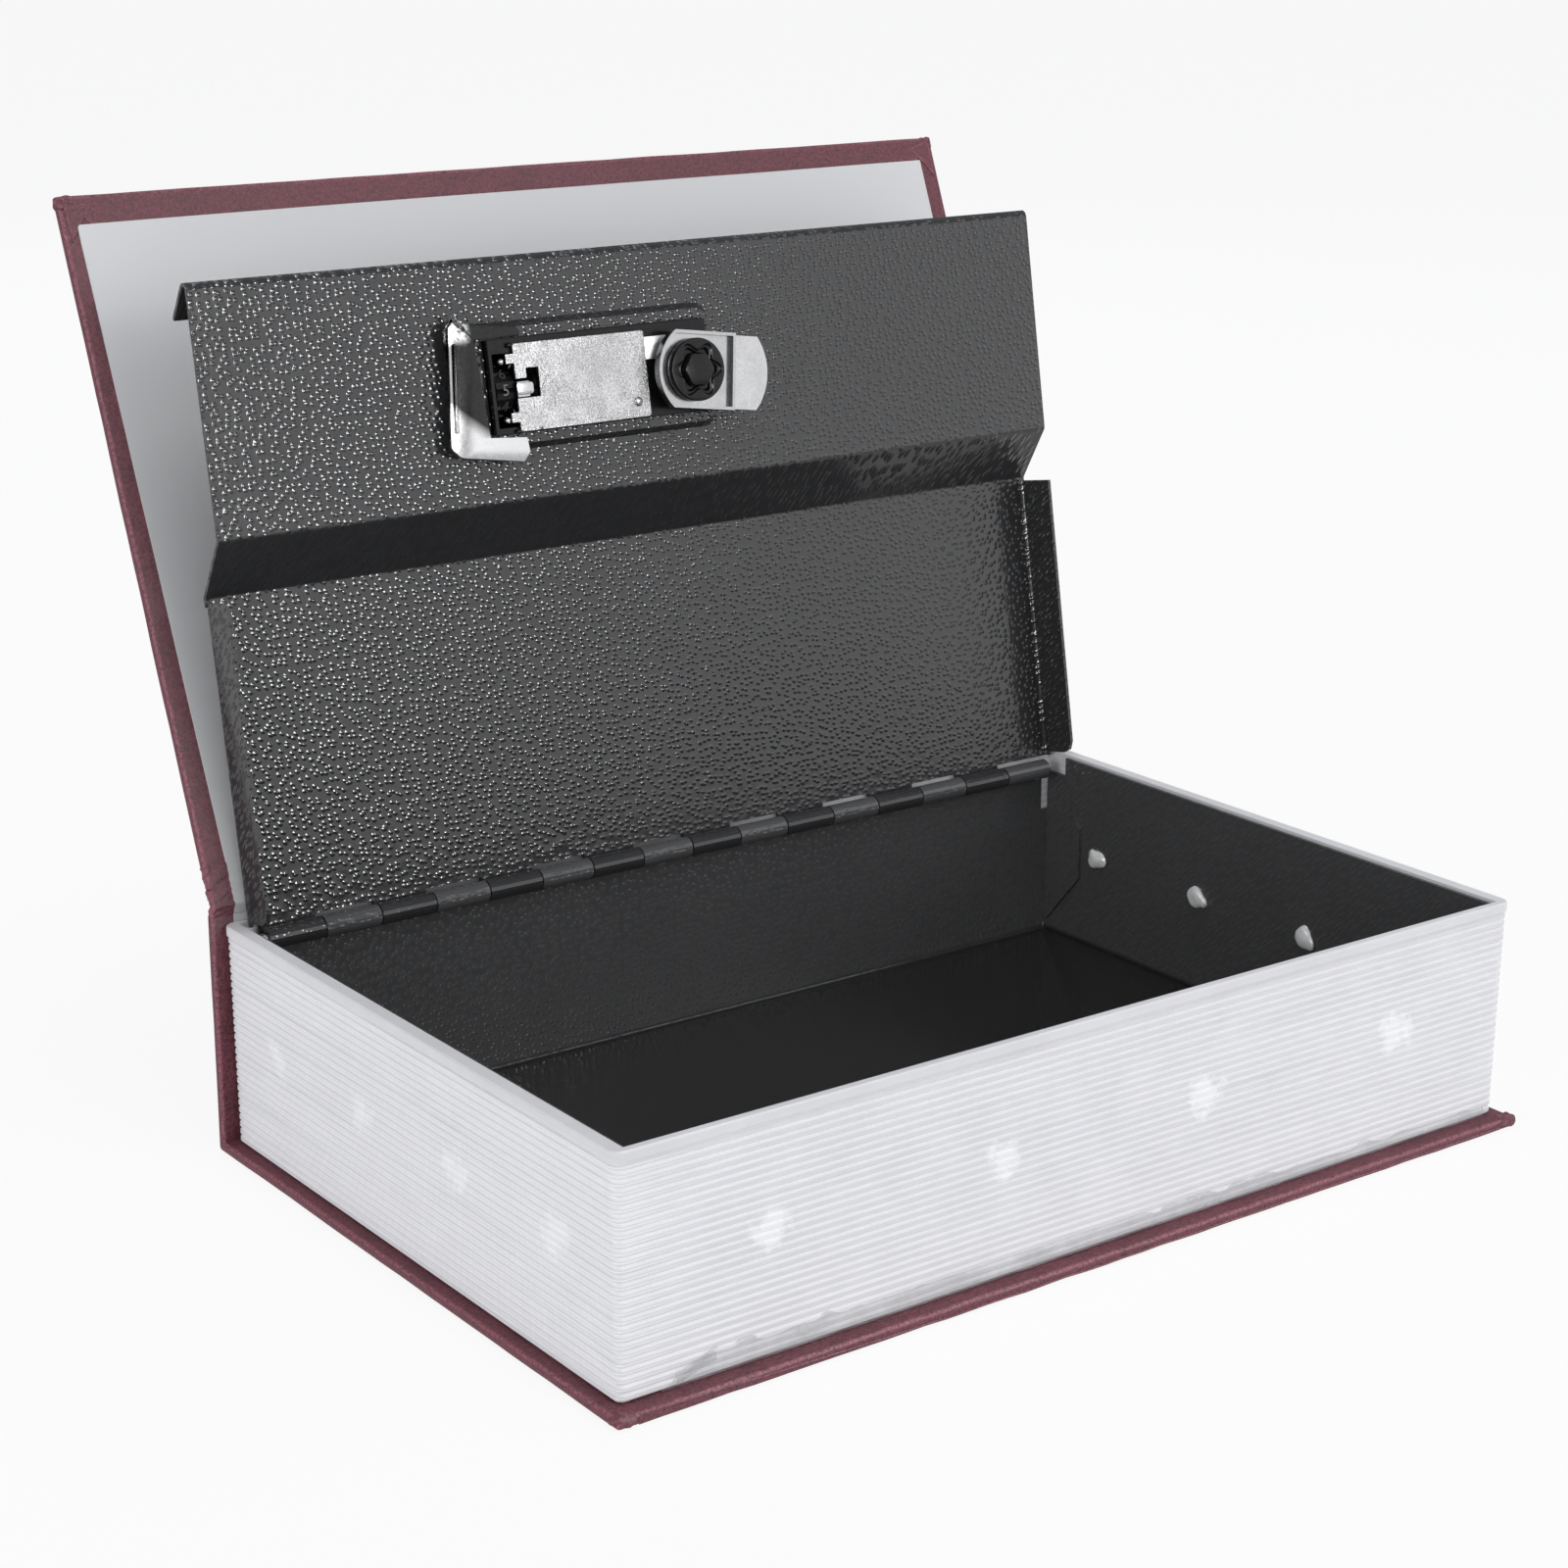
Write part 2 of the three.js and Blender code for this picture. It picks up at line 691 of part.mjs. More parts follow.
// A glue plug stands in its hole, with a lump of glue on the inside of the wall.
function gluePlug() {
  const shank = glueHoleRadius - boreGap;
  const through = seatGap / 2 + sheet + seatGap;
  const profile = [
    [0, 0], [shank, 0], [shank, through], [plugHeadRadius, through],
    [plugHeadRadius, through + plugHeadHeight / 2], [plugHeadCrown, through + plugHeadHeight],
    [0, through + plugHeadHeight],
  ];
  const plug = new THREE.LatheGeometry(profile.map(([r, h]) => new THREE.Vector2(r, h)), 10);
  plug.rotateX(Math.PI / 2);
  return toGeometry(toSolid(plug));
}

function addGluePlugs(group) {
  const { ends, fores } = glueHoles();
  const outside = seatGap / 2;
  ends.forEach((y, i) => {
    const left = gluePlug().rotateY(Math.PI / 2);
    left.translate(-boxWallOuterX - outside, y, glueZ);
    piece(group, `glue_plug_left_${i + 1}`, left, 0xe4e4e2, 0.4, 0);
    const right = gluePlug().rotateY(-Math.PI / 2);
    right.translate(boxWallOuterX + outside, y, glueZ);
    piece(group, `glue_plug_right_${i + 1}`, right, 0xe4e4e2, 0.4, 0);
  });
  fores.forEach((x, i) => {
    const fore = gluePlug().rotateX(-Math.PI / 2);
    fore.translate(x, boxForeOuterY - outside, glueZ);
    piece(group, `glue_plug_front_${i + 1}`, fore, 0xe4e4e2, 0.4, 0);
  });
}

// The strike is an angle on the front wall. The tongue turns in under its upper leg.
function addStrike(group) {
  const middle = strikeSheet / 2;
  const legY = boxForeInnerY + seatGap + middle;
  const underLeg = hingeZ + lockHalfLevel + tongueLevel + seatGap;
  const section = foldedSheet([
    new THREE.Vector2(legY, underLeg + middle - strikeLeg),
    new THREE.Vector2(legY, underLeg + middle),
    new THREE.Vector2(boxForeInnerY + strikeReach, underLeg + middle),
  ], strikeSheet, bendRadius);
  const centre = lockOffset + spindleX;
  const strike = extrude(section, 'x', centre - strikeLength / 2, centre + strikeLength / 2);
  piece(group, 'strike_bracket', strike, 0x8d8d8f, 0.4, 1);
}

// Lid, drawn closed with the hinge line at the origin: it reaches along -Y, its outside faces +Z

function lidPressing() {
  const middle = knuckleRadius - sheet / 2;
  const low = middle - stepDepth;
  const away = radians(180 - returnTurn);
  const lockHalf = foldedSheet([
    new THREE.Vector2(-hingeHalfLength + 2, middle),
    new THREE.Vector2(-hingeHalfLength, middle),
    new THREE.Vector2(-hingeHalfLength - stepRun, low),
    new THREE.Vector2(-lidReach, low),
    new THREE.Vector2(-lidReach + returnLength * Math.cos(away), low + returnLength * Math.sin(away)),
  ], sheet, bendRadius);
  const flangeX = lidHalfLength - sheet / 2;
  const flangeFoot = knuckleRadius - flangeDepth;
  const hingeHalf = foldedSheet([
    new THREE.Vector2(-flangeX, flangeFoot),
    new THREE.Vector2(-flangeX, middle),
    new THREE.Vector2(flangeX, middle),
    new THREE.Vector2(flangeX, flangeFoot),
  ], sheet, bendRadius);
  const trim = knuckleRadius - sheet - bendRadius;
  const flangeEnds = polygon([
    [-sheetStart + 1, trim],
    [-flangeSetback, trim],
    [-flangeSetback, flangeFoot + flangeEndRound],
    [-flangeSetback - flangeEndRound * 0.3, flangeFoot + flangeEndRound * 0.3],
    [-flangeSetback - flangeEndRound, flangeFoot],
    [-flangeSetback - flangeEndRound, flangeFoot - 1],
    [-sheetStart + 1, flangeFoot - 1],
  ]);
  return cut(
    join(
      extrude(hingeHalf, 'y', -hingeHalfLength + 1, -sheetStart),
      extrude(lockHalf, 'x', -lidHalfLength, lidHalfLength),
    ),
    extrude(flangeEnds, 'x', -lidHalfLength - 1, lidHalfLength + 1),
  );
}

// The lock seat is pressed inwards, so the lock stands in a shallow tray on the outside.
function lockSeat(halfLength, halfWidth, from, to) {
  const seat = loft([
    ring(halfLength - seatSlope, halfWidth - seatSlope, seatCornerRadius, to),
    ring(halfLength, halfWidth, seatCornerRadius, from),
  ]);
  seat.translate(lockOffset, -lockReach + windowShift, lockHalfLevel);
  return seat;
}

function addLid(group) {
  const overlap = 0.1;
  const pressed = lockSeat(seatLength / 2, seatWidth / 2, -sheet + overlap, seatInnerLevel);
  const tray = lockSeat(seatLength / 2 - sheet, seatWidth / 2 - sheet, overlap, -seatDepth);
  const windowY = -lockReach + windowShift;
  const window = block(
    lockOffset - windowLength / 2, lockOffset + windowLength / 2,
    windowY - windowWidth / 2, windowY + windowWidth / 2,
    lockHalfLevel + 2 * seatInnerLevel, lockHalfLevel + 1,
  );
  const rolled = knuckles(0, sheetStart + 1, true, 0, 0);
  const lid = cut(join(lidPressing(), pressed, ...rolled), tray, window);
  piece(group, 'lid_panel', lid, 0x4b4b4d, 0.45, 0.3);
}

// Combination cam lock, drawn about the middle of its window with the lid's outside at z = 0

function addLockBody(group) {
  const front = loft([
    ring(frontHalfLength, frontHalfWidth, bodyCorner, -seatDepth + seatGap, 3),
    ring(frontHalfLength, frontHalfWidth, bodyCorner, bodyRise - bodyFrontRound, 3),
    ring(frontHalfLength - bodyFrontRound, frontHalfWidth - bodyFrontRound, bodyCorner, bodyRise, 3),
  ]);
  front.translate(0, windowShift, 0);
  const back = block(
    -bodyHalfLength, bodyHalfLength, windowShift - bodyHalfWidth, windowShift + bodyHalfWidth, -bodyDrop, 0,
  );
  const boss = disc('z', spindleRadius + bossMargin, -bodyBossDrop, 0, spindleX, 0);
  const pocket = block(
    pocketStartX, pocketEndX, -pocketWidth / 2, pocketWidth / 2, -bodyDrop - 1, bodyRise - pocketFaceWall,
  );
  const bore = disc('z', spindleRadius + boreGap, -bodyBossDrop - 1, bodyRise + 1, spindleX, 0);
  const shaftHole = disc(
    'x', shaftRadius + boreGap, pocketStartX - shaftSeat - seatGap, pocketEndX + shaftSeat + shaftFarEnd,
    0, dialLevel, 12,
  );
  const dialWindows = [];
  for (let i = 0; i < dialCount; i += 1) {
    const x = firstDialX + i * dialPitch;
    const half = dialWidth / 2 + boreGap;
    const reach = Math.sqrt(dialRadius ** 2 - (bodyRise - pocketFaceWall - dialLevel) ** 2) + boreGap;
    dialWindows.push(block(x - half, x + half, -reach, reach, 0, bodyRise + 1));
  }
  const body = cut(join(front, back, boss), pocket, bore, shaftHole, ...dialWindows);
  piece(group, 'lock_body', body, 0x17171a, 0.45, 0);
}

function dialOutline() {
  const points = [];
  const step = 2 * Math.PI / dialNotchCount;
  for (let i = 0; i < dialNotchCount; i += 1) {
    const angle = i * step;
    points.push([angle - step * dialFacetShare, dialRadius]);
    points.push([angle, dialRadius]);
    points.push([angle + step * dialFacetShare, dialRadius]);
    points.push([angle + step * 0.5, dialRadius - dialNotchDepth]);
  }
  const outline = polygon(
    points.map(([angle, radius]) => [radius * Math.cos(angle), radius * Math.sin(angle)]),
  );
  const bore = new THREE.Path();
  bore.absarc(0, 0, sleeveRadius + boreGap, 0, 2 * Math.PI, true);
  outline.holes.push(bore);
  return outline;
}

function addDials(group) {
  const sleeveBore = shaftRadius + boreGap;
  for (let i = 0; i < dialCount; i += 1) {
    const x = firstDialX + i * dialPitch;
    const half = dialWidth / 2;
    const dial = extrude(dialOutline(), 'x', x - half, x + half, 6);
    dial.translate(0, 0, dialLevel);
    piece(group, `dial_${i + 1}`, dial, 0x1b1b1d, 0.4, 0);
    const tube = disc('x', sleeveRadius, x - half, x + half + seatGap + sleeveDiscWidth, 0, dialLevel, 16);
    const discFrom = x + half + seatGap;
    const code = disc('x', sleeveDiscRadius, discFrom, discFrom + sleeveDiscWidth, 0, dialLevel, 20);
    const notch = block(
      discFrom - 0.1, discFrom + sleeveDiscWidth + 0.1,
      -sleeveNotchWidth / 2, sleeveNotchWidth / 2,
      dialLevel + sleeveRadius, dialLevel + sleeveDiscRadius + 1,
    );
    const bore = disc('x', sleeveBore, x - half - 1, x + half + 2, 0, dialLevel, 12);
    piece(group, `code_sleeve_${i + 1}`, cut(join(tube, code), notch, bore), 0xa8a8aa, 0.35, 1);
  }
}

// The dial shaft slides when the code is changed. Its lever comes out through the back plate.
function addCodeChangeShaft(group) {
  const leverX = firstDialX - dialWidth / 2 + leverSetback - leverThickness;
  const shaft = disc('x', shaftRadius, pocketStartX - shaftSeat, pocketEndX + shaftFarEnd, 0, dialLevel, 12);
  const collarTo = pocketEndX - 2 * seatGap - springLength - 2 * springWire;
  const collar = disc('x', collarRadius, collarTo - collarWidth, collarTo, 0, dialLevel, 14);
  const tabLevel = plateLevel + 0.1;
  const arm = block(
    leverX, leverX + leverThickness,
    -leverWidth / 2, leverWidth / 2,
    tabLevel - leverTabThickness, dialLevel,
  );
  const tabTo = leverX + leverThickness + leverTabOverhang;
  const tab = block(
    tabTo - leverTabReach, tabTo, -leverWidth / 2, leverWidth / 2, tabLevel - leverTabThickness, tabLevel,
  );
  piece(group, 'dial_shaft', join(shaft, collar, arm, tab), 0xb8b8ba, 0.3, 1);
}

// A coil of round wire on the shaft, between the collar and the end of the pocket
function addLeverSpring(group) {
  const steps = springTurns * 10;
  const from = pocketEndX - seatGap - springWire - springLength;
  const sides = 5;
  const positions = [];
  for (let i = 0; i <= steps; i += 1) {
    const angle = 2 * Math.PI * springTurns * i / steps;
    for (let side = 0; side < sides; side += 1) {
      const around = 2 * Math.PI * side / sides;
      const radius = springRadius + springWire * Math.cos(around);
      positions.push(
        from + springLength * i / steps + springWire * Math.sin(around),
        radius * Math.cos(angle),
        dialLevel + radius * Math.sin(angle),
      );
    }
  }
  const index = [];
  for (let i = 0; i < steps; i += 1) {
    for (let side = 0; side < sides; side += 1) {
      const a = i * sides + side;
      const b = i * sides + (side + 1) % sides;
      index.push(a, b + sides, b, a, a + sides, b + sides);
    }
  }
  const last = steps * sides;
  for (let side = 1; side < sides - 1; side += 1) {
    index.push(0, side, side + 1, last, last + side + 1, last + side);
  }
  const spring = new THREE.BufferGeometry();
  spring.setAttribute('position', new THREE.Float32BufferAttribute(positions, 3));
  spring.setIndex(index);
  piece(group, 'lever_spring', spring, 0xb0b0b2, 0.3, 1);
}

function addBackPlate(group) {
  const outline = roundedRectangle(
    plateStartX, plateStartX + plateLength,
    -plateWidth / 2 - plateShift, plateWidth / 2 - plateShift, plateCorner,
  );
  const top = plateLevel;
  const bottom = plateLevel - plateSheet;
  const plate = extrude(outline, 'z', bottom, top, 3);
  const slotEnd = plateStartX + slotReach;
  const across = block(
    plateStartX - 1, slotEnd,
    -slotWidth + leverWidth / 2 + seatGap, leverWidth / 2 + seatGap,
    bottom - 1, top + 1,
  );
  const leg = block(
    slotEnd - slotLeg, slotEnd, leverWidth / 2 + seatGap - slotRise, leverWidth / 2, bottom - 1, top + 1,
  );
  const lugs = [-1, 1].map((side) => {
    const y = side * lugSpread / 2 - plateShift;
    return block(
      plateStartX - lugLength, plateStartX + 1, y - lugWidth / 2, y + lugWidth / 2, bottom, top,
    );
  });
  const lipEdge = plateWidth / 2 - plateShift;
  const lip = block(
    plateStartX + plateLipStart, plateStartX + plateLipStart + plateLipLength, lipEdge - plateSheet, lipEdge,
    bottom - plateLipDepth, top - 0.1,
  );
  const dimple = new THREE.SphereGeometry(dimpleRadius, 12, 8);
  dimple.scale(1, 1, 0.6);
  dimple.translate(
    plateStartX + plateLength - dimpleEndSetback,
    plateWidth / 2 - plateShift - dimpleSideSetback,
    bottom + 0.1,
  );
  piece(group, 'lock_back_plate', join(cut(plate, across, leg), ...lugs, lip, dimple), 0xc4c4c6, 0.35, 1);
}

// The clip is a flat spring fork, pushed on from the left and sitting a little askew, with one arm bent out.
function clipOutline() {
  const half = clipMouth / 2;
  const tip = clipTipRound;
  const far = half + clipArm;
  const fork = new THREE.Shape();
  fork.moveTo(clipBentReach, far + clipBend - tip);
  fork.lineTo(clipBentReach - tip, far + clipBend);
  fork.absarc(-clipBar + clipCorner, far - clipCorner, clipCorner, Math.PI / 2, Math.PI, false);
  fork.absarc(-clipBar + clipCorner, clipCorner - far, clipCorner, Math.PI, 1.5 * Math.PI, false);
  fork.lineTo(clipReach - tip, -far);
  fork.lineTo(clipReach, tip - far);
  fork.lineTo(clipReach, -half);
  fork.lineTo(0, -half);
  fork.lineTo(0, half);
  fork.lineTo(clipBentReach, half + clipBend);
  return fork;
}

function addRetainingClip(group) {
  const half = clipMouth / 2;
  const top = seatInnerLevel - seatGap;
  const bottom = top - clipSheet;
  const plate = extrude(clipOutline(), 'z', bottom, top, 4);
  const lip = block(-clipBar, -clipBar + clipSheet, -half, half, bottom - clipLip, top - 0.2);
  const clip = join(plate, lip);
  clip.rotateZ(radians(-clipTilt));
  clip.translate(-bodyHalfLength - seatGap + clipShift / 2, windowShift, 0);
  const room = block(
    -bodyHalfLength - seatGap, bodyHalfLength,
    windowShift - bodyHalfWidth - seatGap, windowShift + bodyHalfWidth + seatGap,
    bottom - clipLip - 1, top + 1,
  );
  piece(group, 'retaining_clip', cut(clip, room), 0xd2d2d4, 0.3, 1);
}

// Latch: the knob outside turns the spindle, and the nut clamps the cup and the tongue on its neck.
// It is drawn about the spindle with the tongue along +X.

function tongueOutline() {
  const half = tongueWidth / 2;
  const shoulder = tongueReach - tongueEndBulge;
  const radius = (half ** 2 + tongueEndBulge ** 2) / (2 * tongueEndBulge);
  const sweep = Math.asin(half / radius);
  const outline = new THREE.Shape();
  outline.absarc(shoulder + tongueEndBulge - radius, 0, radius, -sweep, sweep, false);
  outline.absarc(0, 0, half, Math.PI / 2, 1.5 * Math.PI, false);
  return outline;
}

// The cup is a rectangle with one bulged end.
function cupOutline(inset) {
  const outline = new THREE.Shape();
  const reach = cupReach - inset;
  const half = cupHalfWidth - inset;
  const radius = cupEndRadius - inset;
  const sweep = Math.asin(half / radius);
  outline.moveTo(reach, -half);
  outline.lineTo(reach, half);
  outline.absarc(cupEndRadius - cupEndReach, 0, radius, Math.PI - sweep, Math.PI + sweep, false);
  return outline;
}

function starOutline() {
  const points = [];
  const steps = nutStarLobes * 6;
  for (let i = 0; i < steps; i += 1) {
    const angle = 2 * Math.PI * i / steps;
    const radius = nutStarRadius - nutStarDepth * (0.5 - 0.5 * Math.cos(nutStarLobes * angle));
    points.push([radius * Math.cos(angle), radius * Math.sin(angle)]);
  }
  return polygon(points);
}

function addLatch(group) {
  const knobFoot = bodyRise + seatGap;
  const knobDiscTop = knobFoot + knobDiscThickness;
  const knobDisc = disc('z', knobDiscRadius, knobFoot, knobDiscTop, 0, 0, 28);
  const grip = extrude(
    roundedRectangle(
      -knobGripLength / 2, knobGripLength / 2, -knobGripWidth / 2, knobGripWidth / 2, knobGripRound,
    ),
    'z', knobDiscTop - 0.2, knobDiscTop + knobGripRise,
  );
  piece(group, 'knob', join(knobDisc, grip), 0xb9babc, 0.3, 1);
  const shank = disc('z', spindleRadius, -bodyBossDrop, bodyRise, 0, 0, 20);
  const neck = disc('z', spindleNeck, spindleTip, -bodyBossDrop + 0.2, 0, 0, 16);
  piece(group, 'lock_spindle', join(shank, neck), 0x8a8a8c, 0.35, 1);
  const bore = disc('z', neckBore, nutTip - 1, 0, 0, 0, 16);
  const tongue = extrude(tongueOutline(), 'z', tongueLevel - tongueThickness, tongueLevel, 8);
  piece(group, 'latch_tongue', cut(tongue, bore), 0xe0e0e2, 0.25, 1);
  const cupFace = cupLevel - cupSheet;
  const cupOuter = extrude(cupOutline(0), 'z', cupFace - cupRim, cupLevel, 12);
  const cupInner = extrude(cupOutline(cupSheet), 'z', cupFace - cupRim - 1, cupFace, 12);
  piece(group, 'cam_cup', cut(cupOuter, cupInner, bore), 0xcfcfd1, 0.3, 1);
  const nutDisc = disc('z', nutRadius, nutTip, nutLevel, 0, 0, 28);
  const star = extrude(starOutline(), 'z', nutTip - 1, nutTip + nutRecess);
  const hub = disc('z', neckBore + nutCap, nutTip - 2, nutLevel, 0, 0, 16);
  const nutBore = disc('z', neckBore, nutTip + nutCap, nutLevel + 1, 0, 0, 16);
  piece(group, 'star_nut', cut(nutDisc, cut(star, hub), nutBore), 0x121214, 0.45, 0);
}

// Assembly

const bookSafe = new THREE.Group();
addCase(bookSafe);
addPageBlock(bookSafe);
addSteelBox(bookSafe);
addGluePlugs(bookSafe);
addStrike(bookSafe);
addHingePin(bookSafe);

const cover = new THREE.Group();
cover.position.set(0, coverPivotY, coverPivotZ);
cover.rotation.x = -radians(coverOpenAngle);
addCover(cover);
bookSafe.add(cover);

const lid = new THREE.Group();
lid.position.set(0, hingeY, hingeZ);
lid.rotation.x = -radians(lidOpenAngle);
addLid(lid);
bookSafe.add(lid);

const lock = new THREE.Group();
lock.position.set(lockOffset, -lockReach, lockHalfLevel);
addLockBody(lock);
addDials(lock);
addCodeChangeShaft(lock);
addLeverSpring(lock);
addBackPlate(lock);
addRetainingClip(lock);
lid.add(lock);

const latch = new THREE.Group();
latch.position.set(spindleX, 0, 0);
latch.rotation.z = radians(latchRestAngle);
addLatch(latch);
lock.add(latch);

export default bookSafe;
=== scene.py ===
"""A book safe: burgundy book case, ribbed page block, hammertone cash box, stepped lid and dial lock."""

import json
from math import cos, pi, radians, sin

import bmesh
import bpy
from mathutils import Matrix, Vector, noise
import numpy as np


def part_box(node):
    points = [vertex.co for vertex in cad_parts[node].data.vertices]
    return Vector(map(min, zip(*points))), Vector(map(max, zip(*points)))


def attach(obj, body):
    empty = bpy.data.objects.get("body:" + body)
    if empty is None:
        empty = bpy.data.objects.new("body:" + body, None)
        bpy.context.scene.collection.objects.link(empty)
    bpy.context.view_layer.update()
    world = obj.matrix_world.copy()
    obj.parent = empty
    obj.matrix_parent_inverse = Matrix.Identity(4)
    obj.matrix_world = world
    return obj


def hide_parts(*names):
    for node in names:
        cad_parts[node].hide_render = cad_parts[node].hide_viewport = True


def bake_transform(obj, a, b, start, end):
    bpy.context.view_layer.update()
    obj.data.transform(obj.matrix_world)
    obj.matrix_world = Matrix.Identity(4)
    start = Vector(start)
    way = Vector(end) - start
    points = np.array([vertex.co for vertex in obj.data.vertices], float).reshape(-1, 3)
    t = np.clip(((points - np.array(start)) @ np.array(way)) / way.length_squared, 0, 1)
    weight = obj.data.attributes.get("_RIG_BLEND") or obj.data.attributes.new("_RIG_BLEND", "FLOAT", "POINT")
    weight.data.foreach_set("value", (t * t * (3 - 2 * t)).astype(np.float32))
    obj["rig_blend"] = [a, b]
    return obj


bl_info = {
    "name": "Book Safe",
    "version": (1, 0, 0),
    "blender": (4, 5, 0),
    "location": "View3D > Sidebar > Book Safe",
    "description": "Dresses the book safe's solids and builds its cloth, glue, figures and stage",
    "category": "Add Mesh",
}

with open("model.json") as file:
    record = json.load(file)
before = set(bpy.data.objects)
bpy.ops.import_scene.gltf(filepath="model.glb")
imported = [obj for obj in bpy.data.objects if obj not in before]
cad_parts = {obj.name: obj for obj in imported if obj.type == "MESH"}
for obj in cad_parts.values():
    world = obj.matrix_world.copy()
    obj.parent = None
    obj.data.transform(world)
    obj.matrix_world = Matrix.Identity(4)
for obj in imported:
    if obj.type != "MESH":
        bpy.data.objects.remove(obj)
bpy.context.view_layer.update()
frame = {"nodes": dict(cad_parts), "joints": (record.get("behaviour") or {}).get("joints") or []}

MM = 0.001
joints = {joint["name"]: joint for joint in frame["joints"]}


def hinge_place(name):
    """The frame of a leaf drawn closed, with its hinge line at the origin, turned to how it stands."""
    joint = joints[name]
    turned = Matrix.Rotation(radians(joint["range_deg"][0]), 4, "X")
    return Matrix.Translation(joint["pos_m"]) @ turned


def mm(x, y, z):
    """A point given in millimetres."""
    return Vector((x, y, z)) * MM


def shifted(x, y, z):
    """A move given in millimetres."""
    return Matrix.Translation(mm(x, y, z))


IN_PLACE = Matrix.Identity(4)
lid_place = hinge_place("lid_hinge")
cover_place = hinge_place("crease_hinge")
cover_lean = radians(-joints["crease_hinge"]["range_deg"][0])
# The lock on the lid drawn closed, and the same seen from its back: x to the right, y up, z outwards.
lock_place = lid_place @ shifted(-16.9, -108.7, -7.2)
lock_outward = lock_place @ Matrix.Rotation(pi, 4, "X")
case_low, case_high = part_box("case_cloth")
block_low, block_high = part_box("page_block")
hinge_point = Vector(joints["lid_hinge"]["pos_m"])
glue_plugs = sorted(name for name in frame["nodes"] if name.startswith("glue_plug"))

RIB_COUNT = 28
BLOCK_RIM = 2.4 * MM
RIB_PITCH = (block_high.z - block_low.z - BLOCK_RIM) / RIB_COUNT
PAPER_HALF = 113.2 * MM
BOARD_THICKNESS = 2.4 * MM
# The front cover in its own frame: from its pivot line to its fore edge, and its two faces.
COVER_START = 8.8 * MM
COVER_REACH = 154.4 * MM
COVER_INSIDE = -2.2 * MM
COVER_OUTSIDE = 0.45 * MM
GLUE_PATCH = 5.2 * MM
# Points closer than this are one, and edges that turn by more than this look sharp.
WELD = 1e-7
SHARP_FROM = radians(50)


# Values that a user would change

def colour_value(name, where, default):
    """A colour that a user can change."""
    return bpy.props.FloatVectorProperty(
        name=name, description=f"Colour of the {where}", subtype="COLOR", size=3, min=0, max=1,
        default=default)


def length_value(name, what, least, default):
    """A length in metres that a user can change."""
    return bpy.props.FloatProperty(
        name=name, description=what, unit="LENGTH", min=least, default=default)


class BookSafeSettings(bpy.types.PropertyGroup):
    cloth_colour: colour_value("Cloth", "book cloth", (0.127, 0.027, 0.041))
    paper_colour: colour_value("Endpaper", "endpaper", (0.65, 0.65, 0.655))
    page_colour: colour_value("Page block", "moulded page block", (0.735, 0.729, 0.742))
    lid_colour: colour_value("Lid enamel", "enamel on the lid", (0.031, 0.031, 0.032))
    box_colour: colour_value("Box enamel", "enamel in the box", (0.074, 0.074, 0.075))
    thread_pitch: length_value(
        "Thread pitch", "Distance between the threads of the cloth", 0.0002, 0.00055)
    hammer_cell: length_value(
        "Hammer cell", "Width of one bump of the hammertone enamel", 0.0004, 0.00165)
    cloth_round: length_value(
        "Edge rounding", "Radius of the cloth round a board's edge", 0.0002, 0.0008)
    figure_height: length_value(
        "Figure height", "Height of the numbers on the dials", 0.0005, 0.0026)
    lamp_power: bpy.props.FloatProperty(
        name="Lamp power", description="Power of the main lamp in watts", min=0, default=9)


# Node trees

